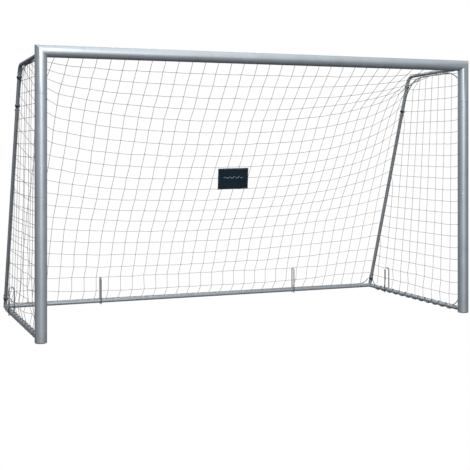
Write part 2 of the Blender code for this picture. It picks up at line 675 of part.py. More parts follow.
def make_ropes(parts, material):
    behind_post = POST_Y + POST_RADIUS + ROPE_RADIUS + ROPE_GAP
    for word, side in SIDES:
        post = Vector((side * POST_X, behind_post, 0))
        bend = Vector((side * POST_X, BEND_Y, BEND_Z))
        arm = Vector((side * POST_X, POST_Y, ARM_FRONT_Z))
        arm_slope = (bend - arm).normalized()
        foot = Vector((side * POST_X, REAR_Y, GROUND_BAR_Z))
        beside = STRUT_FRONT * ROPE_OFFSET
        stops = [post + UP * 0.12, post + UP * 0.50, post + UP * 0.95, post + UP * 1.36,
                 post + UP * 1.49 + BACK * 0.003, post + UP * 1.555 + BACK * 0.014,
                 arm + arm_slope * 0.10 - UP * 0.040, arm + arm_slope * 0.17 - UP * 0.022,
                 arm + arm_slope * 0.27 - UP * 0.018, arm + arm_slope * 0.43 - UP * 0.018,
                 arm + arm_slope * 0.52 - UP * 0.021, arm + arm_slope * 0.58 - UP * 0.036,
                 bend - STRUT_DIRECTION * 0.060 + STRUT_FRONT * 0.050,
                 bend - STRUT_DIRECTION * 0.11 + STRUT_FRONT * 0.026,
                 bend - STRUT_DIRECTION * 0.17 + beside * 1.05, bend - STRUT_DIRECTION * 0.30 + beside,
                 foot + STRUT_DIRECTION * 0.90 + beside, foot + STRUT_DIRECTION * 0.45 + beside,
                 foot + STRUT_DIRECTION * 0.09 + beside]
        rope = rod_object("rope_side_" + word, smooth_route(stops, 3), ROPE_RADIUS, parts, resolution=2)
        rope.data.materials.append(material)
        low = Vector((side * POST_X, 0, ROPE_RADIUS))
        ends = [low + BACK * (POST_Y + 0.07), low + BACK * (REAR_Y - 0.05)]
        rope = rod_object("rope_ground_" + word, ends, ROPE_RADIUS, parts, resolution=2)
        rope.data.materials.append(material)
    top = GROUND_BAR_Z + ROPE_OFFSET
    # The stops spread out step by step: a sudden long step makes the curve fold back on itself.
    lift = [(1.385, 0.022, 0.078), (1.372, 0.012, 0.056), (1.345, 0.003, 0.041), (1.30, 0, top),
            (1.24, 0, top), (1.12, 0, top), (0.86, 0, top), (0.36, 0, top)]
    arc = [Vector((x, REAR_Y - ahead, z)) for x, ahead, z in lift]
    stops = [Vector((-p.x, p.y, p.z)) for p in arc] + arc[::-1]
    rope = rod_object("rope_rear", smooth_route(stops, 3), ROPE_RADIUS, parts, resolution=2)
    rope.data.materials.append(material)
    distance = POST_RADIUS + ROPE_RADIUS + ROPE_GAP
    y = POST_Y + distance * math.cos(CROSSBAR_ROPE_ANGLE)
    z = CROSSBAR_Z - distance * math.sin(CROSSBAR_ROPE_ANGLE)
    ends = [Vector((-1.34, y, z)), Vector((1.34, y, z))]
    rope = rod_object("rope_crossbar", ends, ROPE_RADIUS, parts, resolution=2)
    rope.data.materials.append(material)


def main():
    clear_scene()
    parts = new_collection("football_goal")
    tools = new_collection("cutters_and_welds")
    steel = new_material("galvanised_steel", (0.56, 0.60, 0.65), 0.9, 0.35)
    zinc = new_material("zinc_plated_steel", (0.62, 0.65, 0.68), 1.0, 0.28)
    plastic = new_material("grey_polyethylene", (0.42, 0.45, 0.48), 0.0, 0.5)
    netting = new_material("white_net_twine", (0.82, 0.82, 0.80), 0.0, 0.8)
    cord = new_material("dark_grey_rope", (0.05, 0.055, 0.06), 0.0, 0.85)
    cloth = new_material("dark_petrol_label", (0.006, 0.034, 0.10), 0.0, 0.7)
    corners = make_corners(parts, tools, steel)
    crossbar = make_crossbar(parts, steel)
    uppers, lowers = make_posts(parts, tools, steel)
    make_foot_caps(parts, plastic)
    tubes = {"corner": corners, "crossbar": crossbar, "post_upper": uppers, "post_lower": lowers,
             "arm": make_arms(parts, tools, steel), "strut": make_struts(parts, steel),
             "side_bar": make_side_bars(parts, steel), "rear_bar": make_rear_bar(parts, steel),
             "rear_corner": make_rear_corners(parts, tools, steel)}
    make_buttons(parts, tools, zinc, tubes)
    make_bolts(parts, tools, zinc, tubes)
    make_pegs(parts, zinc)
    back_edge = make_nets(parts, netting)
    make_label(parts, cloth, back_edge)
    make_ropes(parts, cord)


main()
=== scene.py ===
"""The finished look of a garden football goal: steel tubes, laced net, ropes, fasteners and pegs.

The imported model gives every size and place; this script lays the finished pieces over it.
"""
import math
import random

import bmesh
import bpy
from bpy.props import FloatProperty, FloatVectorProperty, IntProperty, PointerProperty
from mathutils import Matrix, Vector


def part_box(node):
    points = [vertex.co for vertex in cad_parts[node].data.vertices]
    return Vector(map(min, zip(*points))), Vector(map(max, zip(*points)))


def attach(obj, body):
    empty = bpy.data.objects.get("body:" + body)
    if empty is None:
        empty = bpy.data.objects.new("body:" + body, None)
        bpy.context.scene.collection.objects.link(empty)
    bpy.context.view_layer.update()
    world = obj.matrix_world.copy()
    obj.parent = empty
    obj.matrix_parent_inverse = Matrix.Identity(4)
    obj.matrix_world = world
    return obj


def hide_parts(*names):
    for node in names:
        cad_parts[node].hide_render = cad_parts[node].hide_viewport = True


bl_info = {
    "name": "Garden football goal",
    "version": (1, 0, 0),
    "blender": (4, 5, 0),
    "location": "View3D > Sidebar > Goal",
    "description": "Builds the tubes, fasteners, net, ropes and pegs of a garden football goal",
    "category": "Object",
}

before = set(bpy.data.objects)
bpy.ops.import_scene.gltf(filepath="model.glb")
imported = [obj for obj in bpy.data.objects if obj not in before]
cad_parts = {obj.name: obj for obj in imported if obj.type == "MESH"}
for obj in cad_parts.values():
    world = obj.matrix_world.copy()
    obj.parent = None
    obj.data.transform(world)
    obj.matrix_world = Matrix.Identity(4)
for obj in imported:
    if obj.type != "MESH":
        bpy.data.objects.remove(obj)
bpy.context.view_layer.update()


def middle(node):
    low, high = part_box(node)
    return (Vector(low) + Vector(high)) / 2


def extent(node):
    low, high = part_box(node)
    return Vector(high) - Vector(low)


# ---- sizes read from the frame
POST_RADIUS = extent("post_upper_left").x / 2
THIN_RADIUS = extent("side_bar_left").x / 2
POST_X = middle("post_upper_right").x
POST_Y = middle("post_upper_right").y
REAR_Y = middle("rear_bar_middle").y
GROUND_BAR_Z = middle("side_bar_left").z
CROSSBAR_Z = middle("crossbar_middle").z
ROPE_RADIUS = extent("rope_crossbar").z / 2
PEG_RADIUS = extent("peg_left").y / 2
PEG_LENGTH = extent("peg_left").z

# ---- sizes of the design, in metres
POST_SPIGOT = 0.080
POST_SPIGOT_RADIUS = POST_RADIUS - 0.0018
POST_WALL = 0.0015
THIN_SPIGOT = 0.050
THIN_SPIGOT_RADIUS = THIN_RADIUS - 0.0017
THIN_WALL = 0.0012
CORNER_LEG = 0.24
LOWER_SEAM_Z = 0.82
CROSSBAR_MIDDLE = 0.80
REAR_MIDDLE = 0.92
REAR_CORNER_LEG = 0.060
FOOT_LIP = 0.006
FOOT_ROUNDING = 0.005
FOOT_PLUG_RADIUS = POST_RADIUS - 0.0030
FOOT_PLUG_TOP = 0.036
FOOT_WALL = 0.0025
FOOT_FLOOR = 0.004
ARM_FRONT_Z = 1.633
BEND_Z = 1.615
BEND_Y = POST_Y + 0.66
BEND_RADIUS = 0.075
ARM_LOWER_LEG = 0.27
TUBE_FRONT_Y = POST_Y + POST_RADIUS + 0.0009
SEAM_GAP = 0.0003
BUTTON_FROM_SEAM = 0.030
BOLT_FROM_SEAM = 0.025
STUB_LENGTH = 0.060
BUTTON_STAND = 0.003        # how far a button stands proud of its tube
BOLT_RADIUS = 0.0030
BOLT_HEAD_RADIUS = 0.0055
BOLT_HEAD_HEIGHT = 0.0040
ROPE_STEP = 0.005           # between a rope's rings
ROPE_LAY = 0.030            # along the rope for one turn of its strands
LASHING_RADIUS = 0.0020
LASHING_TURNS = 3.5
LACING_PITCH = 0.0853       # along a side bar for one turn of its lacing
CLOTH_FRAMES = 70
NET_CLOTH = {"vertex_group_mass": "pinned", "quality": 10, "mass": 0.006, "air_damping": 4.0,
             "tension_stiffness": 90, "compression_stiffness": 0.5, "bending_stiffness": 0.01,
             "tension_damping": 5}
KNOT_JITTER = 0.003
KNOT_SIZE = 2.0             # a knot's radius, in twine radii
TWINE_DROOP = 0.018         # how far twine sags between knots, as a share of its run
COLUMN_LEAN = 0.20          # how far a side net's columns lean forward for each metre up, at the strut
LABEL_THICKNESS = 0.0010
LABEL_STAND_OFF = 0.0035    # from the net's strands to the label's cloth
LABEL_LEAN = 0.11           # how far the label hangs back for each metre up
STITCH_INSET = 0.006
STITCH_PITCH = 0.005
STITCH_RADIUS = 0.0004
WAVE_HEIGHT = 0.0060
WAVE_RADIUS = 0.0015
WAVE_ABOVE_MIDDLE = 0.008

# ---- the stage
LIGHT_TARGET = Vector((0, 0, 0.8))
CAMERA_PLACE = (-2.510, POST_Y - 5.497, 1.109)
CAMERA_TURN = -21.14        # degrees from +Y, to the right
CAMERA_LENS = 75.1
CAMERA_SHIFT = (0.050, -0.189)

UP = Vector((0, 0, 1))
BACK = Vector((0, 1, 0))
SIDES = (("left", -1), ("right", 1))
ARM_DIRECTION = Vector((0, BEND_Y - TUBE_FRONT_Y, BEND_Z - ARM_FRONT_Z)).normalized()
STRUT_VECTOR = Vector((0, BEND_Y - REAR_Y, BEND_Z - GROUND_BAR_Z))
STRUT_DIRECTION = STRUT_VECTOR.normalized()
STRUT_FRONT = Vector((0, -STRUT_DIRECTION.z, STRUT_DIRECTION.y))
ROPE_OFFSET = THIN_RADIUS + ROPE_RADIUS + 0.0008


# ---------------------------------------------------------------- user settings

def linear(hex_colour):
    """An sRGB hex colour as linear values."""
    channels = [int(hex_colour[i:i + 2], 16) / 255 for i in (1, 3, 5)]
    return tuple(c / 12.92 if c <= 0.04045 else ((c + 0.055) / 1.055) ** 2.4 for c in channels)


def colour_setting(name, text, default):
    return FloatVectorProperty(name=name, description=text, subtype="COLOR",
                               default=linear(default), min=0, max=1)


def length_setting(name, text, default, low, high):
    return FloatProperty(name=name, description=text, subtype="DISTANCE", unit="LENGTH", default=default,
                         min=low, max=high)


def count_setting(name, text, default, low, high):
    return IntProperty(name=name, description=text, default=default, min=low, max=high)


class GoalFinish(bpy.types.PropertyGroup):
    """Colours of the goal's finishes."""
    coat: colour_setting("Tube coat", "Silver coat of the large tubes", "#c5ced5")
    thin_coat: colour_setting("Thin tube coat", "Silver coat of the rear tubes", "#b1b9c0")
    # The net's twine is white; the grey colour set here is painted shade.
    twine: colour_setting("Net twine", "Colour of the net", "#bcbbba")
    rope: colour_setting("Rope", "Colour of the lacing rope", "#7e8286")
    label: colour_setting("Label", "Colour of the sewn label", "#12242f")


class GoalNet(bpy.types.PropertyGroup):
    """Sizes of the net."""
    columns: count_setting("Columns", "Meshes across the goal", 33, 8, 64)
    rows: count_setting("Rows", "Meshes from the crossbar to the rear bar", 21, 6, 60)
    side_columns: count_setting("Side columns", "Meshes along a side bar", 11, 4, 30)
    side_rows: count_setting("Side rows", "Meshes up a side", 20, 4, 40)
    twine_radius: length_setting("Twine radius", "Half the twine's thickness", 0.0015, 0.0005, 0.004)
    skew: length_setting("Skew", "How far the net's foot is laced to the right of its top", 0.04, -0.3, 0.3)
    left_sweep: FloatProperty(name="Left sweep", description="How suddenly rows leave the left side frame",
                              default=16, min=1, max=40)
    right_sweep: FloatProperty(name="Right sweep", description="How suddenly rows leave the right side frame",
                               default=4, min=1, max=40)
    label_slip: length_setting("Label slip", "How far the label is sewn from its drawn place",
                               -0.042, -0.2, 0.2)
    looseness_left: length_setting("Left looseness", "How creased the left side net is", 0.010, 0, 0.05)
    looseness_right: length_setting("Right looseness", "How creased the right side net is", 0.004, 0, 0.05)


# ---------------------------------------------------------------- shared modelling helpers

def arm_front(side):
    return Vector((side * POST_X, POST_Y, ARM_FRONT_Z))


def arm_bend(side):
    return Vector((side * POST_X, BEND_Y, BEND_Z))


def rear_foot(side):
    return Vector((side * POST_X, REAR_Y, GROUND_BAR_Z))


def deselect_all():
    for thing in bpy.context.selected_objects:
        thing.select_set(False)


def activate(thing):
    deselect_all()
    thing.select_set(True)
    bpy.context.view_layer.objects.active = thing


def add_object(name, data):
    thing = bpy.data.objects.new(name, data)
    bpy.context.scene.collection.objects.link(thing)
    return thing


def as_mesh(name, curve):
    """A curve drawn out as a mesh object."""
    activate(add_object(name, curve))
    bpy.ops.object.convert(target="MESH")
    return bpy.context.object


def pose_along(position, direction):
    """The matrix that turns +Z to a direction and moves the origin to a position."""
    turn = UP.rotation_difference(Vector(direction).normalized()).to_matrix().to_4x4()
    return Matrix.Translation(Vector(position)) @ turn


def settle(thing, matrix, material, smooth_angle=35):
    """Puts a piece's place into its mesh, welds it and shades its round faces smooth."""
    thing.data.transform(matrix @ thing.matrix_world)
    thing.matrix_world = Matrix()
    activate(thing)
    bpy.ops.object.mode_set(mode="EDIT")
    bpy.ops.mesh.select_all(action="SELECT")
    bpy.ops.mesh.remove_doubles(threshold=0.00001)
    bpy.ops.mesh.normals_make_consistent(inside=False)
    bpy.ops.object.mode_set(mode="OBJECT")
    bpy.ops.object.shade_smooth_by_angle(angle=math.radians(smooth_angle))
    thing.data.materials.clear()
    thing.data.materials.append(material)
    return thing


def apply_modifier(thing, kind, **settings):
    activate(thing)
    modifier = thing.modifiers.new(kind.title(), kind)
    for key, value in settings.items():
        setattr(modifier, key, value)
    bpy.ops.object.modifier_apply(modifier=modifier.name)


def draw_profile(name, stations, vertices, cap_first=False, cap_last=False):
    """A ring drawn out along +Z through stations of (radius, height), as a lathe would leave it."""
    deselect_all()
    radius, height = stations[0]
    bpy.ops.mesh.primitive_circle_add(vertices=vertices, radius=radius, location=(0, 0, height),
                                      fill_type="NGON" if cap_first else "NOTHING")
    thing = bpy.context.object
    thing.name = name
    bpy.ops.object.transform_apply(location=True)
    bpy.ops.object.mode_set(mode="EDIT")
    bpy.ops.mesh.select_all(action="SELECT")
    if cap_first:
        bpy.ops.mesh.select_mode(type="EDGE")
        bpy.ops.mesh.select_all(action="SELECT")
    for new_radius, new_height in stations[1:]:
        bpy.ops.mesh.extrude_edges_move(TRANSFORM_OT_translate={"value": (0, 0, new_height - height)})
        ratio = new_radius / radius
        bpy.ops.transform.resize(value=(ratio, ratio, 1), center_override=(0, 0, new_height))
        radius, height = new_radius, new_height
    if cap_last:
        bpy.ops.mesh.edge_face_add()
    bpy.ops.mesh.select_mode(type="VERT")
    bpy.ops.mesh.select_all(action="SELECT")
    bpy.ops.mesh.normals_make_consistent(inside=False)
    bpy.ops.object.mode_set(mode="OBJECT")
    return thing


def face_outwards(thing):
    """Turns an open skin's faces away from the piece's own axis, before it gets its wall."""
    mesh = thing.data
    outward = sum(face.normal.x * face.center.x + face.normal.y * face.center.y for face in mesh.polygons)
    if outward < 0:
        mesh.flip_normals()


def walled_tube(name, stations, wall, matrix, material, vertices):
    thing = draw_profile(name, stations, vertices)
    face_outwards(thing)
    apply_modifier(thing, "SOLIDIFY", thickness=wall, offset=-1.0, use_even_offset=True)
    return settle(thing, matrix, material)


def rod_mesh(name, routes, radius, sides_setting):
    """Round rods along chains of points, as one mesh object at the origin."""
    curve = bpy.data.curves.new(name, "CURVE")
    curve.dimensions = "3D"
    curve.bevel_depth = radius
    curve.bevel_resolution = sides_setting
    curve.use_fill_caps = True
    for route in routes:
        spline = curve.splines.new("POLY")
        spline.points.add(len(route) - 1)
        for target, point in zip(spline.points, route):
            target.co = (*point, 1.0)
    return as_mesh(name, curve)


def smooth_route(points, spacing):
    """Points spaced evenly along a smooth curve through the given ones."""
    chain = [points[0] * 2 - points[1], *points, points[-1] * 2 - points[-2]]
    fine = []
    for a, b, c, d in zip(chain, chain[1:], chain[2:], chain[3:]):
        for step in range(16):
            t = step / 16
            fine.append(0.5 * (2 * b + (c - a) * t + (2 * a - 5 * b + 4 * c - d) * t ** 2
                               + (3 * b - a - 3 * c + d) * t ** 3))
    fine.append(points[-1].copy())
    return even_route(fine, spacing)


def even_route(chain, spacing):
    lengths = [0.0]
    for a, b in zip(chain, chain[1:]):
        lengths.append(lengths[-1] + (b - a).length)
    count = max(2, round(lengths[-1] / spacing))
    route = []
    index = 0
    for step in range(count + 1):
        target = lengths[-1] * step / count
        while index < len(chain) - 2 and lengths[index + 1] < target:
            index += 1
        span = lengths[index + 1] - lengths[index]
        share = (target - lengths[index]) / span if span else 0.0
        route.append(chain[index].lerp(chain[index + 1], share))
    return route


# ---------------------------------------------------------------- materials

def add_node(owner, kind, settings=None, inputs=None, links=None):
    """Adds a node; settings are its attributes, inputs its values, links its sockets' sources."""
    tree = owner.node_tree
    node = tree.nodes.new(kind)
    for key, value in (settings or {}).items():
        setattr(node, key, value)
    for key, value in (inputs or {}).items():
        node.inputs[key].default_value = value
    for key, source in (links or {}).items():
        tree.links.new(source, node.inputs[key])
    return node


def start_material(name, colour, metallic, roughness):
    material = bpy.data.materials.new(name)
    material.use_nodes = True
    shader = material.node_tree.nodes["Principled BSDF"]
    shader.inputs["Base Color"].default_value = (*colour, 1)
    shader.inputs["Metallic"].default_value = metallic
    shader.inputs["Roughness"].default_value = roughness
    return material, shader


def link(material, source, target):
    material.node_tree.links.new(source, target)


def coated_tube_material(name, colour, metallic, roughness):
    """Silver powder coat on galvanised steel tube: a soft metallic sheen with faint clouding."""
    material, shader = start_material(name, colour, metallic, roughness)
    place = add_node(material, "ShaderNodeTexCoord")
    cloud = add_node(material, "ShaderNodeTexNoise", inputs={"Scale": 9.0, "Detail": 4.0},
                     links={"Vector": place.outputs["Object"]})
    tone = add_node(material, "ShaderNodeMix", {"data_type": "RGBA"},
                    {"A": (*[c * 0.90 for c in colour], 1), "B": (*[min(1, c * 1.08) for c in colour], 1)},
                    {"Factor": cloud.outputs["Fac"]})
    link(material, tone.outputs["Result"], shader.inputs["Base Color"])
    grain = add_node(material, "ShaderNodeTexNoise", inputs={"Scale": 900.0, "Detail": 2.0},
                     links={"Vector": place.outputs["Object"]})
    gloss = add_node(material, "ShaderNodeMapRange",
                     inputs={"To Min": roughness - 0.05, "To Max": roughness + 0.07},
                     links={"Value": cloud.outputs["Fac"]})
    link(material, gloss.outputs["Result"], shader.inputs["Roughness"])
    bump = add_node(material, "ShaderNodeBump", inputs={"Strength": 0.05, "Distance": 0.0002},
                    links={"Height": grain.outputs["Fac"]})
    link(material, bump.outputs["Normal"], shader.inputs["Normal"])
    return material


def zinc_material():
    """Bright zinc plate on steel fasteners: pale, slightly blue, with faint brushed streaks."""
    material, shader = start_material("bright_zinc_plate", linear("#bfc6cc"), 1.0, 0.28)
    place = add_node(material, "ShaderNodeTexCoord")
    streak = add_node(material, "ShaderNodeTexNoise", inputs={"Scale": 400.0, "Detail": 3.0},
                      links={"Vector": place.outputs["Object"]})
    gloss = add_node(material, "ShaderNodeMapRange", inputs={"To Min": 0.20, "To Max": 0.38},
                     links={"Value": streak.outputs["Fac"]})
    link(material, gloss.outputs["Result"], shader.inputs["Roughness"])
    return material


def plastic_material(name, hex_colour, roughness):
    """Injection moulded polyethylene: a dull, slightly waxy skin with a fine spark-eroded grain."""
    material, shader = start_material(name, linear(hex_colour), 0.0, roughness)
    place = add_node(material, "ShaderNodeTexCoord")
    grain = add_node(material, "ShaderNodeTexNoise", inputs={"Scale": 1400.0, "Detail": 1.0},
                     links={"Vector": place.outputs["Object"]})
    bump = add_node(material, "ShaderNodeBump", inputs={"Strength": 0.2, "Distance": 0.0002},
                    links={"Height": grain.outputs["Fac"]})
    link(material, bump.outputs["Normal"], shader.inputs["Normal"])
    return material


def twine_material(colour):
    """White braided polyethylene twine, coloured grey as painted shade: matt, with a fine braid that darkens
    it a little as painted shade.
    """
    material, shader = start_material("white_polyethylene_twine", colour, 0.0, 0.75)
    place = add_node(material, "ShaderNodeTexCoord")
    braid = add_node(material, "ShaderNodeTexVoronoi", inputs={"Scale": 650.0},
                     links={"Vector": place.outputs["Object"]})
    # Painted shade: the braid's cells darken towards their edges.
    tone = add_node(material, "ShaderNodeMix", {"data_type": "RGBA"},
                    {"A": (*colour, 1), "B": (*[c * 0.72 for c in colour], 1)},
                    {"Factor": braid.outputs["Distance"]})
    link(material, tone.outputs["Result"], shader.inputs["Base Color"])
    return material


def rope_material(colour):
    """Laid polyester rope: matt fibres, a little lighter where they are rubbed."""
    material, shader = start_material("grey_polyester_rope", colour, 0.0, 0.85)
    place = add_node(material, "ShaderNodeTexCoord")
    fibre = add_node(material, "ShaderNodeTexNoise", inputs={"Scale": 700.0, "Detail": 3.0},
                     links={"Vector": place.outputs["Object"]})
    tone = add_node(material, "ShaderNodeMix", {"data_type": "RGBA"},
                    {"A": (*[c * 0.6 for c in colour], 1), "B": (*[min(1, c * 1.5) for c in colour], 1)},
                    {"Factor": fibre.outputs["Fac"]})
    link(material, tone.outputs["Result"], shader.inputs["Base Color"])
    bump = add_node(material, "ShaderNodeBump", inputs={"Strength": 0.5, "Distance": 0.0004},
                    links={"Height": fibre.outputs["Fac"]})
    link(material, bump.outputs["Normal"], shader.inputs["Normal"])
    return material


def label_material(name, colour, thread_mm):
    """Woven polyester label cloth: warp and weft threads drawn a little over a millimetre apart."""
    material, shader = start_material(name, colour, 0.0, 0.7)
    shader.inputs["Specular IOR Level"].default_value = 0.2
    place = add_node(material, "ShaderNodeUVMap", {"uv_map": "cloth"})
    weave = add_node(material, "ShaderNodeTexChecker", inputs={"Scale": 1000.0 / thread_mm,
                                                             "Color1": (1, 1, 1, 1),
                                                             "Color2": (0, 0, 0, 1)},
                     links={"Vector": place.outputs["UV"]})
    tone = add_node(material, "ShaderNodeMix", {"data_type": "RGBA"},
                    {"A": (*[c * 0.75 for c in colour], 1), "B": (*[min(1, c * 1.35) for c in colour], 1)},
                    {"Factor": weave.outputs["Fac"]})
    link(material, tone.outputs["Result"], shader.inputs["Base Color"])
    bump = add_node(material, "ShaderNodeBump", inputs={"Strength": 0.4, "Distance": 0.0003},
                    links={"Height": weave.outputs["Fac"]})
    link(material, bump.outputs["Normal"], shader.inputs["Normal"])
    return material


def once(name, make):
    """The material of that name, made on first use."""
    if name not in bpy.data.materials:
        material = make()
        material.name = name
    return bpy.data.materials[name]


def chosen(name):
    """A colour from the panel's settings."""
    return tuple(getattr(bpy.context.scene.goal_finish, name))


def large_tube_finish():
    return once("silver_coat_large_tube", lambda: coated_tube_material("coat", chosen("coat"), 0.62, 0.46))


def thin_tube_finish():
    return once("silver_coat_thin_tube",
                lambda: coated_tube_material("coat", chosen("thin_coat"), 0.35, 0.42))


def zinc_finish():
    return once("bright_zinc_plate", zinc_material)


def rope_finish():
    return once("grey_polyester_rope", lambda: rope_material(chosen("rope")))


def lashing_finish():
    """The short dark cord that the border rope is lashed to the struts with."""
    return once("black_lashing_cord", lambda: rope_material(linear("#1d1e1f")))


def twine_finish():
    return once("white_polyethylene_twine", lambda: twine_material(chosen("twine")))


def thread_finish():
    """The pale thread of the label's stitches and its woven line."""
    return once("pale_sewing_thread", lambda: plastic_material("thread", "#9fb0bc", 0.6))


def show_on_frame(piece, slot, *nodes, body="frame"):
    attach(piece, body)
    if nodes:
        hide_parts(*nodes)


# ---------------------------------------------------------------- front frame

def swaged_stations(length, radius, spigot_radius, spigot_length, low_spigot, high_spigot):
    """A tube's skin from its lower to its upper end, with a swaged spigot where one is asked for."""
    shoulder = radius - spigot_radius
    run = 0.4 * shoulder
    edge = 0.0004
    if low_spigot:
        stations = [(spigot_radius, -spigot_length), (spigot_radius, SEAM_GAP),
                    (radius - edge, SEAM_GAP + run), (radius, SEAM_GAP + run + edge)]
    else:
        stations = [(radius - edge, 0), (radius, edge)]
    if high_spigot:
        top = length - SEAM_GAP
        stations += [(radius, top - run - edge), (radius - edge, top - run),
                     (spigot_radius, top), (spigot_radius, length + spigot_length)]
    else:
        stations += [(radius, length - edge), (radius - edge, length)]
    return stations


def large_tube(name, length, matrix, low_spigot=False, high_spigot=False):
    stations = swaged_stations(length, POST_RADIUS, POST_SPIGOT_RADIUS, POST_SPIGOT, low_spigot, high_spigot)
    return walled_tube(name, stations, POST_WALL, matrix, large_tube_finish(), 72)


def thin_tube(name, length, matrix, low_spigot=False, high_spigot=False):
    stations = swaged_stations(length, THIN_RADIUS, THIN_SPIGOT_RADIUS, THIN_SPIGOT, low_spigot, high_spigot)
    return walled_tube(name, stations, THIN_WALL, matrix, thin_tube_finish(), 40)


def row_of_three(tube_maker, name, slot, outer, half, y, z):
    """Three tubes end to end along X; the middle one has a spigot at each end."""
    for word, start, length, spigots in (("left", -outer, outer - half, False),
                                         ("middle", -half, 2 * half, True),
                                         ("right", half, outer - half, False)):
        tube = tube_maker(name + word + "_tube", length, pose_along((start, y, z), (1, 0, 0)),
                          spigots, spigots)
        show_on_frame(tube, slot, name + word)


def mitred_corner(name, side):
    """Two tubes joined at 45 degrees: one leg is drawn, cut on the mitre and mirrored across it."""
    stations = swaged_stations(CORNER_LEG + 2 * POST_RADIUS, POST_RADIUS, POST_SPIGOT_RADIUS,
                               POST_SPIGOT, True, False)
    thing = draw_profile(name, stations, 72)
    face_outwards(thing)
    lean = Matrix.Rotation(math.radians(45), 4, "Y")
    thing.data.transform(lean @ Matrix.Translation((0, 0, -CORNER_LEG)))
    apply_modifier(thing, "MIRROR", use_axis=(True, False, False), use_bisect_axis=(True, False, False),
                   use_bisect_flip_axis=(True, False, False), merge_threshold=0.0001)
    thing.data.transform(lean.inverted())
    if side > 0:
        thing.data.transform(Matrix.Rotation(math.pi, 4, "Z"))
    apply_modifier(thing, "SOLIDIFY", thickness=POST_WALL, offset=-1.0, use_even_offset=True)
    place = Matrix.Translation((side * POST_X, POST_Y, CROSSBAR_Z))
    return settle(thing, place, large_tube_finish(), 30)


class GOAL_OT_front_frame(bpy.types.Operator):
    """Make the posts, the crossbar, the mitred corners and the foot caps"""
    bl_idname = "goal.front_frame"
    bl_label = "Front Frame"

    def execute(self, context):
        for word, side in SIDES:
            show_on_frame(mitred_corner("corner_" + word + "_tube", side), "frame_tube", "corner_" + word)
            upper_z = CROSSBAR_Z - CORNER_LEG
            upper = large_tube("post_upper_" + word + "_tube", upper_z - LOWER_SEAM_Z,
                               Matrix.Translation((side * POST_X, POST_Y, LOWER_SEAM_Z)), low_spigot=True)
            show_on_frame(upper, "frame_tube", "post_upper_" + word)
            lower = large_tube("post_lower_" + word + "_tube", LOWER_SEAM_Z - FOOT_LIP,
                               Matrix.Translation((side * POST_X, POST_Y, FOOT_LIP)))
            show_on_frame(lower, "frame_tube", "post_lower_" + word)
            self.foot_cap(word, side)
        row_of_three(large_tube, "crossbar_", "frame_tube", POST_X - CORNER_LEG, CROSSBAR_MIDDLE / 2,
                     POST_Y, CROSSBAR_Z)
        return {"FINISHED"}

    def foot_cap(self, word, side):
        lip = FOOT_LIP - SEAM_GAP
        edge = POST_RADIUS - FOOT_ROUNDING
        stations = [(edge, 0)]
        for step in range(1, 7):
            angle = math.pi / 2 * step / 6
            stations.append((edge + FOOT_ROUNDING * math.sin(angle),
                             FOOT_ROUNDING - FOOT_ROUNDING * math.cos(angle)))
        plug = FOOT_PLUG_RADIUS
        stations += [(POST_RADIUS, lip), (plug, lip), (plug, FOOT_PLUG_TOP - 0.002),
                     (plug - 0.001, FOOT_PLUG_TOP), (plug - FOOT_WALL, FOOT_PLUG_TOP),
                     (plug - FOOT_WALL, FOOT_FLOOR)]
        cap = draw_profile("foot_cap_" + word + "_moulding", stations, 72, True, True)
        grey = once("moulded_grey_polyethylene", lambda: plastic_material("cap", "#8f969d", 0.5))
        settle(cap, Matrix.Translation((side * POST_X, POST_Y, 0)), grey)
        show_on_frame(cap, "foot_caps", "foot_cap_" + word)


# ---------------------------------------------------------------- rear frame

def bend_route(side, steps):
    """The arm's axis: straight from the post, round the bend, and down to the strut's seam."""
    start = Vector((side * POST_X, TUBE_FRONT_Y, ARM_FRONT_Z))
    corner = arm_bend(side)
    front = (start - corner).normalized()
    down = -STRUT_DIRECTION
    half_angle = front.angle(down) / 2
    centre = corner + (front + down).normalized() * BEND_RADIUS / math.sin(half_angle)
    tangent = BEND_RADIUS / math.tan(half_angle)
    first = (corner + front * tangent - centre).normalized()
    last = (corner + down * tangent - centre).normalized()
    arc = [centre + first.slerp(last, step / steps) * BEND_RADIUS for step in range(steps + 1)]
    return [start] + arc + [corner + down * (ARM_LOWER_LEG - SEAM_GAP)]


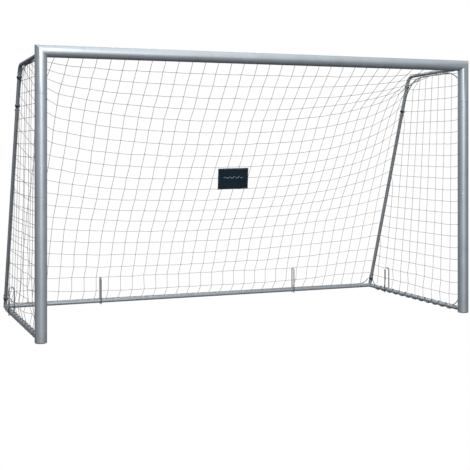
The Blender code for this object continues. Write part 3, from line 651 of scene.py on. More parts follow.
class GOAL_OT_rear_frame(bpy.types.Operator):
    """Make the bent arms, the struts, the ground bars and the three-way rear corners"""
    bl_idname = "goal.rear_frame"
    bl_label = "Rear Frame"

    def execute(self, context):
        for word, side in SIDES:
            self.arm(word, side)
            node = rear_foot(side)
            length = STRUT_VECTOR.length - ARM_LOWER_LEG - REAR_CORNER_LEG
            strut = thin_tube("rear_strut_" + word + "_tube", length,
                              pose_along(node + STRUT_DIRECTION * REAR_CORNER_LEG, STRUT_DIRECTION))
            show_on_frame(strut, "rear_tube", "rear_strut_" + word)
            bar = thin_tube("side_bar_" + word + "_tube", REAR_Y - REAR_CORNER_LEG - TUBE_FRONT_Y,
                            pose_along((side * POST_X, TUBE_FRONT_Y, GROUND_BAR_Z), BACK))
            show_on_frame(bar, "rear_tube", "side_bar_" + word)
            self.rear_corner(word, side, node)
        row_of_three(thin_tube, "rear_bar_", "rear_tube", POST_X - REAR_CORNER_LEG, REAR_MIDDLE / 2,
                     REAR_Y, GROUND_BAR_Z)
        return {"FINISHED"}

    def arm(self, word, side):
        route = bend_route(side, 20)
        skin = rod_mesh("side_arm_" + word + "_tube", [route], THIN_RADIUS, 18)
        settle(skin, Matrix(), thin_tube_finish())
        down = (route[-1] - route[-2]).normalized()
        spigot = draw_profile("arm_spigot", [(THIN_RADIUS - 0.0002, 0), (THIN_SPIGOT_RADIUS, 0.0017),
                                             (THIN_SPIGOT_RADIUS, THIN_SPIGOT)], 40, True, True)
        settle(spigot, pose_along(route[-1], down), thin_tube_finish())
        activate(skin)
        spigot.select_set(True)
        bpy.ops.object.join()
        show_on_frame(skin, "rear_tube", "side_arm_" + word)

    def rear_corner(self, word, side, node):
        """Three short tubes fused at one point, with the soft fillets that welding leaves."""
        legs = []
        for direction in (Vector((-side, 0, 0)), -BACK, STRUT_DIRECTION):
            leg = draw_profile("leg", [(THIN_RADIUS, -0.001), (THIN_RADIUS, REAR_CORNER_LEG - 0.0022),
                                       (THIN_SPIGOT_RADIUS, REAR_CORNER_LEG - 0.0005),
                                       (THIN_SPIGOT_RADIUS, REAR_CORNER_LEG + THIN_SPIGOT)], 40, True, True)
            settle(leg, pose_along(node, direction), thin_tube_finish())
            legs.append(leg)
        deselect_all()
        bpy.ops.mesh.primitive_uv_sphere_add(segments=40, ring_count=20, radius=THIN_RADIUS * 1.02,
                                             location=node)
        ball = bpy.context.object
        settle(ball, Matrix(), thin_tube_finish())
        activate(ball)
        for leg in legs:
            leg.select_set(True)
        bpy.ops.object.join()
        ball.name = "rear_corner_" + word + "_weldment"
        apply_modifier(ball, "REMESH", mode="VOXEL", voxel_size=0.0011)
        apply_modifier(ball, "CORRECTIVE_SMOOTH", factor=0.5, iterations=6, use_only_smooth=True)
        settle(ball, Matrix(), thin_tube_finish(), 60)
        show_on_frame(ball, "rear_tube", "rear_corner_" + word)


# ---------------------------------------------------------------- fasteners and pegs

def hexagon_bolt():
    """A hexagon bolt along +Z through a thin tube: chamfered head, washer face, shank and nut."""
    seat = THIN_RADIUS + SEAM_GAP
    washer_radius = BOLT_HEAD_RADIUS - 0.0005
    pieces = []
    for low, high, is_head in ((seat, seat + BOLT_HEAD_HEIGHT, True),
                               (-seat - BOLT_HEAD_HEIGHT, -seat, False)):
        stations = [(BOLT_HEAD_RADIUS, low + 0.0005), (BOLT_HEAD_RADIUS, high - 0.0005)]
        head = draw_profile("bolt_hexagon", stations, 6, True, True)
        apply_modifier(head, "BEVEL", width=0.0005, segments=2, limit_method="ANGLE",
                       angle_limit=math.radians(40))
        pieces.append(head)
        bottom, top = (low - 0.0001, low + 0.0006) if is_head else (high - 0.0006, high + 0.0001)
        pieces.append(draw_profile("bolt_washer_face", [(washer_radius, bottom), (washer_radius, top)],
                                   24, True, True))
    shank = draw_profile("bolt_shank", [(BOLT_RADIUS - 0.0006, -seat - 0.0058),
                                        (BOLT_RADIUS, -seat - 0.0052), (BOLT_RADIUS, seat + 0.001)],
                         24, True, True)
    pieces.append(shank)
    activate(pieces[0])
    for piece in pieces[1:]:
        piece.select_set(True)
    bpy.ops.object.join()
    return pieces[0]


def snap_button():
    """A spring clip along +X with its domed button along +Z, z = 0 on the tube's axis."""
    seat = POST_SPIGOT_RADIUS - POST_WALL - 0.0012
    face = POST_RADIUS + BUTTON_STAND
    stations = [(0.0065, seat - 0.0012), (0.0065, seat), (0.0045, seat), (0.0045, face - 0.0016),
                (0.0042, face - 0.0008), (0.0034, face - 0.0003), (0.0018, face)]
    button = draw_profile("button", stations, 32, True, True)
    legs = []
    wide = 0.005
    far = -(POST_SPIGOT_RADIUS - POST_WALL - 0.0065)
    strip = [Vector((-0.006, 0, seat - 0.0008)), Vector((0.004, 0, seat - 0.0008)),
             Vector((0.043, 0, 0.0030)), Vector((0.0452, 0, 0)), Vector((0.043, 0, -0.0030)),
             Vector((0.002, 0, far + 0.003)), Vector((-0.004, 0, far + 0.001))]
    deselect_all()
    bpy.ops.mesh.primitive_plane_add(size=1, location=(0, 0, 0))
    leaf = bpy.context.object
    bm = bmesh.new()
    rows = [(bm.verts.new(p + Vector((0, -wide, 0))), bm.verts.new(p + Vector((0, wide, 0)))) for p in strip]
    for (a, b), (c, d) in zip(rows, rows[1:]):
        bm.faces.new((a, b, d, c))
    bm.to_mesh(leaf.data)
    bm.free()
    apply_modifier(leaf, "SOLIDIFY", thickness=0.0010, offset=0.0)
    apply_modifier(leaf, "BEVEL", width=0.0003, segments=2, limit_method="ANGLE",
                   angle_limit=math.radians(50))
    activate(button)
    leaf.select_set(True)
    bpy.ops.object.join()
    return button


class GOAL_OT_fasteners(bpy.types.Operator):
    """Make the bolts of the thin tubes and the snap buttons of the large tubes"""
    bl_idname = "goal.fasteners"
    bl_label = "Fasteners"

    def execute(self, context):
        bolt = hexagon_bolt()
        for name, centre, direction in self.bolt_places():
            copy = self.copy_of(bolt, "bolt_" + name + "_hexagon")
            settle(copy, pose_along(centre, direction), zinc_finish())
            show_on_frame(copy, "zinc_fasteners", "bolt_" + name)
        bpy.data.objects.remove(bolt)
        button = snap_button()
        for name, seam, into_socket, facing in self.button_places():
            copy = self.copy_of(button, "snap_button_" + name + "_clip")
            along = -into_socket
            matrix = Matrix((along, facing.cross(along), facing)).transposed().to_4x4()
            matrix.translation = seam + into_socket * BUTTON_FROM_SEAM
            settle(copy, matrix, zinc_finish())
            show_on_frame(copy, "zinc_fasteners", "snap_button_" + name, body="button_" + name)
        bpy.data.objects.remove(button)
        return {"FINISHED"}

    def copy_of(self, thing, name):
        copy = thing.copy()
        copy.data = thing.data.copy()
        copy.name = name
        bpy.context.scene.collection.objects.link(copy)
        return copy

    def bolt_places(self):
        places = []
        for word, side in SIDES:
            out = Vector((side, 0, 0))
            front = Vector((side * POST_X, TUBE_FRONT_Y, 0))
            node = rear_foot(side)
            bend = arm_bend(side)
            inner = REAR_MIDDLE / 2 + BOLT_FROM_SEAM
            places += [
                ("arm_front_" + word, front + UP * ARM_FRONT_Z + ARM_DIRECTION * STUB_LENGTH / 2, out),
                ("side_bar_front_" + word, front + UP * GROUND_BAR_Z + BACK * STUB_LENGTH / 2, out),
                ("strut_top_" + word, bend - STRUT_DIRECTION * (ARM_LOWER_LEG + BOLT_FROM_SEAM), out),
                ("strut_foot_" + word, node + STRUT_DIRECTION * (REAR_CORNER_LEG + BOLT_FROM_SEAM), out),
                ("side_bar_rear_" + word, node - BACK * (REAR_CORNER_LEG + BOLT_FROM_SEAM), out),
                ("rear_bar_end_" + word, node - out * (REAR_CORNER_LEG + BOLT_FROM_SEAM), BACK),
                ("rear_bar_inner_" + word, Vector((side * inner, REAR_Y, GROUND_BAR_Z)), BACK)]
        return places

    def button_places(self):
        places = []
        for word, side in SIDES:
            facing = Vector((-side, -1, 0)).normalized()
            inward = Vector((-side, 0, 0))
            top_seam = Vector((side * POST_X, POST_Y, CROSSBAR_Z - CORNER_LEG))
            low_seam = Vector((side * POST_X, POST_Y, LOWER_SEAM_Z))
            end_seam = Vector((side * (POST_X - CORNER_LEG), POST_Y, CROSSBAR_Z))
            inner_seam = Vector((side * CROSSBAR_MIDDLE / 2, POST_Y, CROSSBAR_Z))
            places += [("post_top_" + word, top_seam, -UP, facing),
                       ("post_middle_" + word, low_seam, -UP, facing),
                       ("crossbar_end_" + word, end_seam, inward, BACK),
                       ("crossbar_inner_" + word, inner_seam, -inward, BACK)]
        return places


class GOAL_OT_ground_pegs(bpy.types.Operator):
    """Make the bent wire pegs that hold the ground bars down"""
    bl_idname = "goal.ground_pegs"
    bl_label = "Ground Pegs"

    def execute(self, context):
        for name in ("peg_left", "peg_right", "peg_rear_left", "peg_rear_right"):
            size = extent(name)
            centre = middle(name)
            across = Vector((1, 0, 0)) if size.x > size.y else BACK
            half = max(size.x, size.y) / 2 - PEG_RADIUS
            crown = PEG_LENGTH - PEG_RADIUS - half
            foot = Vector((centre.x, centre.y, 0))
            route = [foot - across * half, foot - across * half + UP * crown * 0.5]
            for step in range(25):
                angle = math.pi * step / 24
                route.append(foot - across * half * math.cos(angle) + UP * (crown + half * math.sin(angle)))
            route += [foot + across * half + UP * crown * 0.5, foot + across * half]
            peg = rod_mesh(name + "_wire", [route], PEG_RADIUS, 10)
            apply_modifier(peg, "WELD", merge_threshold=0.00001)
            apply_modifier(peg, "BEVEL", width=0.0006, segments=2, limit_method="ANGLE",
                           angle_limit=math.radians(60))
            settle(peg, Matrix(), zinc_finish())
            show_on_frame(peg, "zinc_fasteners", name, body=name)
        return {"FINISHED"}


# ---------------------------------------------------------------- net

def side_profile():
    """Where the net is laced to a side frame, as points with x = 0: along the arm and down the strut."""
    arm, bend, foot = arm_front(0), arm_bend(0), rear_foot(0)
    slope = (bend - arm).normalized()
    under = -UP * ROPE_OFFSET
    beside = STRUT_FRONT * ROPE_OFFSET
    return [Vector((0, POST_Y + POST_RADIUS + 0.004, CROSSBAR_Z - 0.020)),
            arm + slope * 0.11 + under, arm + slope * 0.50 + under,
            arm + slope * 0.58 - UP * 0.034, bend - STRUT_DIRECTION * 0.06 + STRUT_FRONT * 0.048,
            bend - STRUT_DIRECTION * 0.17 + beside, foot + STRUT_DIRECTION * 0.07 + beside,
            foot + UP * ROPE_OFFSET + Vector((0, -0.004, 0))]


def middle_profile():
    """Where the net hangs half-way between the side frames, from the crossbar to the rear bar."""
    start, end = side_profile()[0], side_profile()[-1]
    back = end.y - start.y
    drop = start.z - end.z
    # (share of the way back, share of the way down): steep at the crossbar, then along the struts' slope
    shape = ((0, 0), (0.11, 0.055), (0.305, 0.180), (0.465, 0.340), (0.765, 0.640), (0.962, 0.890), (1, 1))
    return [Vector((0, start.y + back * far, start.z - drop * down)) for far, down in shape]


def hang(name, knots, strands, pinned, frames):
    """Hangs a net by cloth simulation: knots are points, strands join them, pinned knots stay put."""
    edges = [pair for strand in strands for pair in zip(strand, strand[1:])]
    mesh = bpy.data.meshes.new(name)
    mesh.from_pydata([tuple(p) for p in knots], edges, [])
    thing = add_object(name, mesh)
    group = thing.vertex_groups.new(name="pinned")
    group.add(sorted(pinned), 1.0, "REPLACE")
    activate(thing)
    modifier = thing.modifiers.new("Cloth", "CLOTH")
    for key, value in NET_CLOTH.items():
        setattr(modifier.settings, key, value)
    modifier.collision_settings.use_collision = False
    modifier.collision_settings.use_self_collision = False
    scene = bpy.context.scene
    for step in range(1, frames + 1):
        scene.frame_set(step)
    bpy.ops.object.modifier_apply(modifier=modifier.name)
    hung = [v.co.copy() for v in thing.data.vertices]
    bpy.data.objects.remove(thing)
    scene.frame_set(1)
    return hung


def knotted_net(name, knots, strands, radius, material):
    """Twine along each strand, a little slack between knots, and a small knot at each crossing."""
    routes = []
    for strand in strands:
        route = []
        for a, b in zip(strand, strand[1:]):
            start, end = knots[a], knots[b]
            droop = TWINE_DROOP * (end - start).xy.length
            route += [start, (start + end) / 2 - UP * droop]
        route.append(knots[strand[-1]])
        routes.append(route)
    thing = rod_mesh(name, routes, radius, 1)
    crossings = {}
    for strand in strands:
        for index in strand:
            crossings[index] = crossings.get(index, 0) + 1
    bm = bmesh.new()
    bm.from_mesh(thing.data)
    for index, count in crossings.items():
        if count > 1:
            bmesh.ops.create_icosphere(bm, subdivisions=1, radius=radius * KNOT_SIZE,
                                       matrix=Matrix.Translation(knots[index]))
    bm.to_mesh(thing.data)
    bm.free()
    return settle(thing, Matrix(), material, 60)


class GOAL_OT_netting(bpy.types.Operator):
    """Hang and knot the back net and the two side nets"""
    bl_idname = "goal.netting"
    bl_label = "Netting"

    def execute(self, context):
        net = context.scene.goal_net
        self.rng = random.Random(7)
        self.back_net(net)
        for word, side in SIDES:
            self.side_net(net, word, side)
        return {"FINISHED"}

    def settle_knots(self, name, knots, strands, pinned):
        return hang(name, knots, strands, pinned, CLOTH_FRAMES)

    def back_net(self, net):
        """Each row runs from side frame to side frame and hangs well inside them in the middle."""
        side_rows = self.rows_along(side_profile(), net.rows)
        middle_rows = self.rows_along(middle_profile(), net.rows)
        half = POST_X - 0.006
        knots = []
        for j, (edge, centre) in enumerate(zip(side_rows, middle_rows)):
            t = j / net.rows
            for i in range(net.columns + 1):
                u = 2 * i / net.columns - 1
                loose = 0.0 if abs(u) == 1 or j in (0, net.rows) else 1.0
                inward = 1 - abs(u) ** (net.left_sweep if u < 0 else net.right_sweep)
                x = u * half + net.skew * (t - 0.5) * (1 - u * u)
                row = edge.lerp(centre, inward)
                jitter = Vector([self.rng.uniform(-1, 1) for _ in range(3)]) * KNOT_JITTER * loose
                knots.append(Vector((x, row.y, row.z)) + jitter)
        width = net.columns + 1
        across = [[j * width + i for i in range(width)] for j in range(net.rows + 1)]
        along = [[j * width + i for j in range(net.rows + 1)] for i in range(width)]
        pinned = set(across[0]) | set(across[-1]) | set(along[0]) | set(along[-1])
        strands = across + along
        knots = self.settle_knots("back_net_knots", knots, strands, pinned)
        piece = knotted_net("back_net_twine", knots, strands, net.twine_radius, twine_finish())
        show_on_frame(piece, "net", "net_roof", "net_back")
        bpy.context.scene["back_net_knots"] = [c for knot in knots for c in knot]

    def rows_along(self, chain, rows):
        return even_route(chain, sum((b - a).length for a, b in zip(chain, chain[1:])) / rows)

    def side_net(self, net, word, side):
        """A square net cut along the slope of the strut; each row ends on the strut's rope."""
        chain = side_profile()[1:-1]
        loose = net.looseness_left if side < 0 else net.looseness_right
        x = side * (POST_X - 0.004)
        low = GROUND_BAR_Z + THIN_RADIUS + 0.004
        front = POST_Y + POST_RADIUS + ROPE_RADIUS * 2 + 0.001
        top = chain[1].z
        cell = (REAR_Y - front - 0.01) / net.side_columns
        knots = []
        keys = []
        edge_of_row = []
        for j in range(net.side_rows + 1):
            z = low + (top - low) * j / net.side_rows
            edge = self.strut_edge(chain, z)
            row = {}
            for i in range(net.side_columns + 1):
                lean = -COLUMN_LEAN * (i / net.side_columns) * (z - low)
                y = front + i * cell + lean
                if y > edge - 0.35 * cell:
                    break
                row[i] = len(knots)
                knots.append(Vector((x, y, z)))
            edge_of_row.append(len(knots))
            knots.append(Vector((x, edge, z)))
            keys.append(row)
        across = [list(row.values()) + [edge_of_row[j]] for j, row in enumerate(keys)]
        along = []
        for i in range(net.side_columns + 1):
            strand = []
            for j, row in enumerate(keys):
                if i in row:
                    strand.append(row[i])
                else:
                    if strand:
                        strand.append(edge_of_row[j])
                    break
            if len(strand) > 1:
                along.append(strand)
        pinned = set(across[0]) | set(across[-1]) | set(edge_of_row) | set(row[0] for row in keys)
        for index in range(len(knots)):
            if index not in pinned:
                z_share = (knots[index].z - low) / (top - low)
                push = loose * (1.3 - z_share)
                knots[index] += Vector((self.rng.uniform(-1, 1) * push, self.rng.uniform(-1, 1) * push * 0.3,
                                        self.rng.uniform(-1, 1) * push * 0.25 - 0.008))
        strands = across + along
        knots = self.settle_knots("side_net_knots", knots, strands, pinned)
        piece = knotted_net("side_net_" + word + "_twine", knots, strands, net.twine_radius, twine_finish())
        show_on_frame(piece, "net", "net_" + word)

    def strut_edge(self, chain, z):
        """How far back a row at height z reaches."""
        best = chain[-1].y if z < chain[-1].z else chain[1].y
        for a, b in zip(chain[1:], chain[2:]):
            if min(a.z, b.z) <= z <= max(a.z, b.z) and a.z != b.z:
                best = a.y + (b.y - a.y) * (z - a.z) / (b.z - a.z)
        return best


# ---------------------------------------------------------------- label

class GOAL_OT_net_label(bpy.types.Operator):
    """Sew the cloth label to the middle of the back net"""
    bl_idname = "goal.net_label"
    bl_label = "Net Label"

    def execute(self, context):
        net = context.scene.goal_net
        flat = context.scene["back_net_knots"]
        self.knots = [Vector(flat[i:i + 3]) for i in range(0, len(flat), 3)]
        self.width = net.columns + 1
        size = extent("net_label")
        wide = size.x
        tall = math.hypot(size.y, size.z)
        centre_x = middle("net_label").x + net.label_slip
        centre_z = middle("net_label").z
        places = ((column / 8, row / 8) for column in range(8 * net.columns) for row in range(8 * net.rows))
        column, row = min(places, key=lambda place: math.dist(
            self.surface(*place).xz, (centre_x, centre_z + tall / 2)))
        top = self.surface(column, row)
        right = (self.surface(column + 1, row) - self.surface(column - 1, row)).normalized()
        up = UP - BACK * LABEL_LEAN
        up = (up - right * up.dot(right)).normalized()
        front = right.cross(up).normalized()
        hung = top + front * LABEL_STAND_OFF - up * tall / 2
        cloth = self.patch("net_label_cloth", hung, right, up, front, wide, tall, LABEL_THICKNESS)
        show_on_frame(cloth, "label", "net_label")
        self.stitches(hung + front * 0.0005, right, up, front, wide, tall)
        self.woven_wave(hung + front * 0.0005, right, up, front, wide)
        return {"FINISHED"}

    def woven_wave(self, centre, right, up, front, wide):
        """A plain wavy line woven across the label in pale thread."""
        reach = wide * 0.32
        route = []
        for step in range(121):
            share = step / 60 - 1
            lift = WAVE_HEIGHT * math.sin(share * 13) * (1 - 0.35 * abs(share))
            route.append(centre + right * (share * reach) + up * (lift + WAVE_ABOVE_MIDDLE)
                         + front * 0.0009)
        piece = rod_mesh("net_label_wave", [route], WAVE_RADIUS, 0)
        settle(piece, Matrix(), thread_finish())
        show_on_frame(piece, "label")

    def surface(self, column, row):
        i = max(0, min(self.width - 2, int(column)))
        j = max(0, min(len(self.knots) // self.width - 2, int(row)))
        corner = j * self.width + i
        upper = self.knots[corner].lerp(self.knots[corner + 1], column - i)
        corner += self.width
        lower = self.knots[corner].lerp(self.knots[corner + 1], column - i)
        return upper.lerp(lower, row - j)

    def patch(self, name, centre, right, up, front, wide, tall, thickness):
        deselect_all()
        bpy.ops.mesh.primitive_grid_add(x_subdivisions=24, y_subdivisions=16, size=1)
        cloth = bpy.context.object
        cloth.name = name
        layer = cloth.data.uv_layers.active or cloth.data.uv_layers.new(name="cloth")
        layer.name = "cloth"
        for loop in cloth.data.loops:
            spot = cloth.data.vertices[loop.vertex_index].co
            layer.data[loop.index].uv = (spot.x * wide, spot.y * tall)
        for vert in cloth.data.vertices:
            u, v = vert.co.x, vert.co.y
            ripple = 0.0012 * math.sin(u * 9.0) * (0.3 + abs(v)) + 0.0006 * math.sin(v * 11 + u * 4)
            vert.co = centre + right * u * wide + up * v * tall + front * ripple
        face_up = cloth.data.polygons[0].normal.dot(front)
        if face_up < 0:
            cloth.data.flip_normals()
        apply_modifier(cloth, "SOLIDIFY", thickness=thickness, offset=-1.0)
        bpy.ops.object.shade_smooth_by_angle(angle=math.radians(40))
        cloth.data.materials.clear()
        cloth.data.materials.append(once("woven_label_cloth",
                                         lambda: label_material("label", chosen("label"), 1.2)))
        return cloth

    def stitches(self, centre, right, up, front, wide, tall):
        """A row of short thread stitches just inside the label's edge."""
        corners = [(-1, -1), (1, -1), (1, 1), (-1, 1)]
        routes = []
        for (ax, ay), (bx, by) in zip(corners, corners[1:] + corners[:1]):
            a = centre + right * ax * (wide / 2 - STITCH_INSET) + up * ay * (tall / 2 - STITCH_INSET)
            b = centre + right * bx * (wide / 2 - STITCH_INSET) + up * by * (tall / 2 - STITCH_INSET)
            count = round((b - a).length / STITCH_PITCH)
            for step in range(count):
                start = a.lerp(b, (step + 0.15) / count)
                end = a.lerp(b, (step + 0.80) / count)
                routes.append([start - front * 0.0012, start + front * 0.0004,
                               end + front * 0.0004, end - front * 0.0012])
        piece = rod_mesh("net_label_stitches", routes, STITCH_RADIUS, 0)
        settle(piece, Matrix(), thread_finish())
        show_on_frame(piece, "label")


# ---------------------------------------------------------------- ropes

def laid_rope(name, routes, radius, material):
    """A three-strand laid rope along each route: a lobed section that turns as it goes."""
    lobes = bpy.data.curves.new(name + "_section", "CURVE")
    lobes.dimensions = "2D"
    outline = lobes.splines.new("POLY")
    points = 12
    outline.points.add(points - 1)
    for index in range(points):
        angle = math.tau * index / points
        reach = radius * (0.88 + 0.12 * math.cos(3 * angle))
        outline.points[index].co = (reach * math.cos(angle), reach * math.sin(angle), 0, 1)
    outline.use_cyclic_u = True
    section = add_object(name + "_section", lobes)
    curve = bpy.data.curves.new(name, "CURVE")
    curve.dimensions = "3D"
    curve.bevel_mode = "OBJECT"
    curve.bevel_object = section
    curve.use_fill_caps = True
    for route in routes:
        route = even_route(route, ROPE_STEP)
        spline = curve.splines.new("POLY")
        spline.points.add(len(route) - 1)
        for index, (target, point) in enumerate(zip(spline.points, route)):
            target.co = (*point, 1.0)
            target.tilt = math.tau * index * ROPE_STEP / ROPE_LAY
    thing = as_mesh(name, curve)
    bpy.data.objects.remove(section)
    return settle(thing, Matrix(), material, 60)


class GOAL_OT_ropes(bpy.types.Operator):
    """Lay the border ropes, the lacing of the ground bars and the hitches on the struts"""
    bl_idname = "goal.ropes"
    bl_label = "Ropes"

    def execute(self, context):
        for word, side in SIDES:
            self.side_rope(word, side)
            self.ground_lacing(word, side)
        self.rear_rope()
        self.crossbar_rope()
        return {"FINISHED"}

    def side_rope(self, word, side):
        behind = POST_Y + POST_RADIUS + ROPE_RADIUS + 0.0008
        post = Vector((side * POST_X, behind, 0))
        arm, bend, foot = arm_front(side), arm_bend(side), rear_foot(side)
        slope = (bend - arm).normalized()
        beside = STRUT_FRONT * ROPE_OFFSET
        stops = [post + UP * 0.12, post + UP * 0.50, post + UP * 0.95, post + UP * 1.36,
                 post + UP * 1.49 + BACK * 0.003, post + UP * 1.555 + BACK * 0.014,
                 arm + slope * 0.10 - UP * 0.040, arm + slope * 0.17 - UP * 0.022,
                 arm + slope * 0.27 - UP * 0.018, arm + slope * 0.43 - UP * 0.018,
                 arm + slope * 0.52 - UP * 0.021, arm + slope * 0.58 - UP * 0.036,
                 bend - STRUT_DIRECTION * 0.060 + STRUT_FRONT * 0.050,
                 bend - STRUT_DIRECTION * 0.11 + STRUT_FRONT * 0.026,
                 bend - STRUT_DIRECTION * 0.17 + beside * 1.05, bend - STRUT_DIRECTION * 0.30 + beside,
                 foot + STRUT_DIRECTION * 0.90 + beside, foot + STRUT_DIRECTION * 0.45 + beside,
                 foot + STRUT_DIRECTION * 0.09 + beside]
        rope = laid_rope("side_rope_" + word, [smooth_route(stops, ROPE_STEP)], ROPE_RADIUS, rope_finish())
        show_on_frame(rope, "rope", "rope_side_" + word)
        centres = (foot + STRUT_DIRECTION * 0.062, bend - STRUT_DIRECTION * 0.078,
                   bend - STRUT_DIRECTION * 0.264)
        cord = laid_rope("strut_lashings_" + word, [self.lashing(centre) for centre in centres],
                         LASHING_RADIUS, lashing_finish())
        show_on_frame(cord, "rope")

    def lashing(self, centre):
        """Turns of cord round the strut and the rope beside it: a circle that swells over the rope."""
        radius = THIN_RADIUS + LASHING_RADIUS + 0.0003
        pitch = 2 * LASHING_RADIUS + 0.0002
        first = STRUT_FRONT
        second = STRUT_DIRECTION.cross(first)
        steps = 28
        route = []
        for step in range(int(LASHING_TURNS * steps) + 1):
            angle = math.tau * step / steps
            swell = 2 * ROPE_RADIUS * max(0.0, math.cos(angle)) ** 6
            route.append(centre + STRUT_DIRECTION * pitch * (step / steps - LASHING_TURNS / 2)
                         + (first * math.cos(angle) + second * math.sin(angle)) * (radius + swell))
        return route

    def ground_lacing(self, word, side):
        """From the strut's hitch in an arc to the side bar, round it in turns, and up to the post."""
        peg_y = middle("peg_" + word).y
        turn_radius = THIN_RADIUS + ROPE_RADIUS + 0.0003
        x = side * POST_X
        first_y = REAR_Y - 0.085
        last_y = POST_Y + 0.105
        route = [Vector((x, REAR_Y, GROUND_BAR_Z)) + STRUT_DIRECTION * 0.066 + STRUT_FRONT * 0.017,
                 Vector((x, REAR_Y - 0.056, GROUND_BAR_Z + 0.036)),
                 Vector((x, REAR_Y - 0.070, GROUND_BAR_Z + 0.024))]
        steps = int((first_y - last_y) / LACING_PITCH * 20)
        for step in range(steps + 1):
            y = first_y + (last_y - first_y) * step / steps
            angle = math.tau * (y - peg_y) / LACING_PITCH
            route.append(Vector((x + turn_radius * math.sin(angle), y,
                                 GROUND_BAR_Z + turn_radius * math.cos(angle))))
        route += [Vector((x, POST_Y + 0.085, GROUND_BAR_Z + 0.030)),
                  Vector((x, POST_Y + 0.062, GROUND_BAR_Z + 0.050)),
                  Vector((x, POST_Y + POST_RADIUS + ROPE_RADIUS + 0.001, GROUND_BAR_Z + 0.090))]
        rope = laid_rope("ground_lacing_" + word, [smooth_route(route, ROPE_STEP)], ROPE_RADIUS,
                         rope_finish())
        show_on_frame(rope, "rope", "rope_ground_" + word)

    def rear_rope(self):
        top = GROUND_BAR_Z + ROPE_OFFSET
        lift = [(1.385, 0.022, 0.078), (1.372, 0.012, 0.056), (1.345, 0.003, 0.041), (1.30, 0, top),
                (1.24, 0, top), (1.12, 0, top), (0.86, 0, top), (0.36, 0, top)]
        arc = [Vector((x, REAR_Y - ahead, z)) for x, ahead, z in lift]
        stops = [Vector((-p.x, p.y, p.z)) for p in arc] + arc[::-1]
        routes = [smooth_route(stops, ROPE_STEP)]
        rope = laid_rope("rear_bar_rope", routes, ROPE_RADIUS, rope_finish())
        show_on_frame(rope, "rope", "rope_rear")

    def crossbar_rope(self):
        centre = middle("rope_crossbar")
        half = extent("rope_crossbar").x / 2
        ends = [Vector((-half, centre.y, centre.z)), Vector((half, centre.y, centre.z))]
        rope = laid_rope("crossbar_rope", [ends], ROPE_RADIUS, rope_finish())
        show_on_frame(rope, "rope", "rope_crossbar")


# ---------------------------------------------------------------- stage

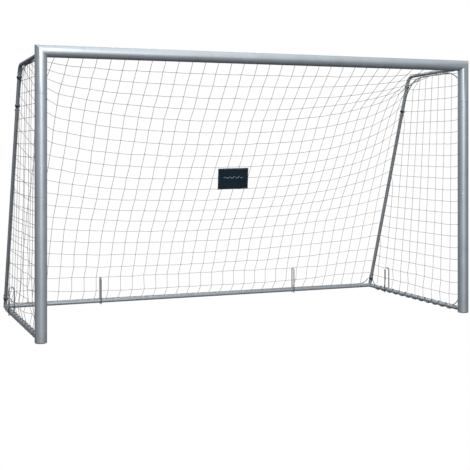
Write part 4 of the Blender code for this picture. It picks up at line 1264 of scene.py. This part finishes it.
class GOAL_OT_stage(bpy.types.Operator):
    """Set a pale floor, soft studio light and the camera"""
    bl_idname = "goal.stage"
    bl_label = "Stage"

    def execute(self, context):
        self.floor()
        self.world(context.scene)
        self.lights()
        self.camera(context.scene)
        return {"FINISHED"}

    def floor(self):
        deselect_all()
        bpy.ops.mesh.primitive_plane_add(size=60, location=(0, 0, 0))
        floor = bpy.context.object
        floor.name = "floor"
        material, shader = start_material("pale_floor", (0, 0, 0), 0.0, 0.9)
        shader.inputs["Specular IOR Level"].default_value = 0.0
        shader.inputs["Emission Color"].default_value = (1, 1, 1, 1)
        shader.inputs["Emission Strength"].default_value = 1.0
        floor.data.materials.append(material)
        floor.visible_glossy = False
        floor.visible_diffuse = False

    def world(self, scene):
        """Camera rays see plain white; the tubes reflect a studio that darkens towards the ground."""
        world = bpy.data.worlds.new("studio")
        world.use_nodes = True
        scene.world = world
        scene.view_settings.view_transform = "Standard"
        world.node_tree.nodes.clear()
        place = add_node(world, "ShaderNodeTexCoord")
        split = add_node(world, "ShaderNodeSeparateXYZ", links={"Vector": place.outputs["Generated"]})
        shift = add_node(world, "ShaderNodeMapRange", inputs={"From Min": -1.0},
                         links={"Value": split.outputs["Z"]})
        ramp = add_node(world, "ShaderNodeValToRGB", links={"Fac": shift.outputs["Result"]})
        low, high = ramp.color_ramp.elements
        low.position, low.color = 0.46, (0.07, 0.075, 0.08, 1)
        high.position, high.color = 0.80, (0.62, 0.64, 0.66, 1)
        studio = add_node(world, "ShaderNodeBackground", inputs={"Strength": 0.78},
                          links={"Color": ramp.outputs["Color"]})
        white = add_node(world, "ShaderNodeBackground", inputs={"Color": (1, 1, 1, 1), "Strength": 1.0})
        path = add_node(world, "ShaderNodeLightPath")
        mix = add_node(world, "ShaderNodeMixShader", links={
            0: path.outputs["Is Camera Ray"], 1: studio.outputs["Background"],
            2: white.outputs["Background"]})
        add_node(world, "ShaderNodeOutputWorld", links={"Surface": mix.outputs["Shader"]})

    def lights(self):
        for name, place, size, energy in (("key", (-2.6, -6.6, 5.8), 3.2, 350),
                                          ("front", (-1.2, -8.4, 3.0), 2.4, 190),
                                          ("top", (0.3, -0.5, 6.5), 4.0, 45),
                                          ("back", (1.5, 6.2, 3.6), 3.0, 130)):
            data = bpy.data.lights.new(name, "AREA")
            data.shape = "SQUARE"
            data.size = size
            data.energy = energy
            light = add_object(name, data)
            light.location = place
            light.rotation_euler = (LIGHT_TARGET - Vector(place)).to_track_quat("-Z", "Y").to_euler()

    def camera(self, scene):
        data = bpy.data.cameras.new("camera")
        data.sensor_width = 36.0
        data.lens = CAMERA_LENS
        data.shift_x, data.shift_y = CAMERA_SHIFT
        camera = add_object("camera", data)
        camera.location = CAMERA_PLACE
        camera.rotation_euler = (math.radians(90), 0, math.radians(CAMERA_TURN))
        scene.camera = camera


# ---------------------------------------------------------------- add-on

class GOAL_PT_panel(bpy.types.Panel):
    """The goal's pieces and settings"""
    bl_label = "Garden Goal"
    bl_idname = "GOAL_PT_panel"
    bl_space_type = "VIEW_3D"
    bl_region_type = "UI"
    bl_category = "Goal"

    def draw(self, context):
        layout = self.layout
        for operator in STEPS:
            layout.operator(operator.bl_idname)
        for settings in (context.scene.goal_finish, context.scene.goal_net):
            for name in settings.__annotations__:
                layout.prop(settings, name)


STEPS = (GOAL_OT_front_frame, GOAL_OT_rear_frame, GOAL_OT_fasteners, GOAL_OT_ground_pegs, GOAL_OT_netting,
         GOAL_OT_net_label, GOAL_OT_ropes, GOAL_OT_stage)
CLASSES = (GoalFinish, GoalNet, *STEPS, GOAL_PT_panel)


def register():
    for item in CLASSES:
        bpy.utils.register_class(item)
    bpy.types.Scene.goal_finish = PointerProperty(type=GoalFinish)
    bpy.types.Scene.goal_net = PointerProperty(type=GoalNet)


def unregister():
    del bpy.types.Scene.goal_net
    del bpy.types.Scene.goal_finish
    for item in reversed(CLASSES):
        bpy.utils.unregister_class(item)


def main():
    register()
    for step in STEPS:
        getattr(bpy.ops.goal, step.bl_idname.removeprefix("goal."))()


if __name__ == "__main__":
    main()
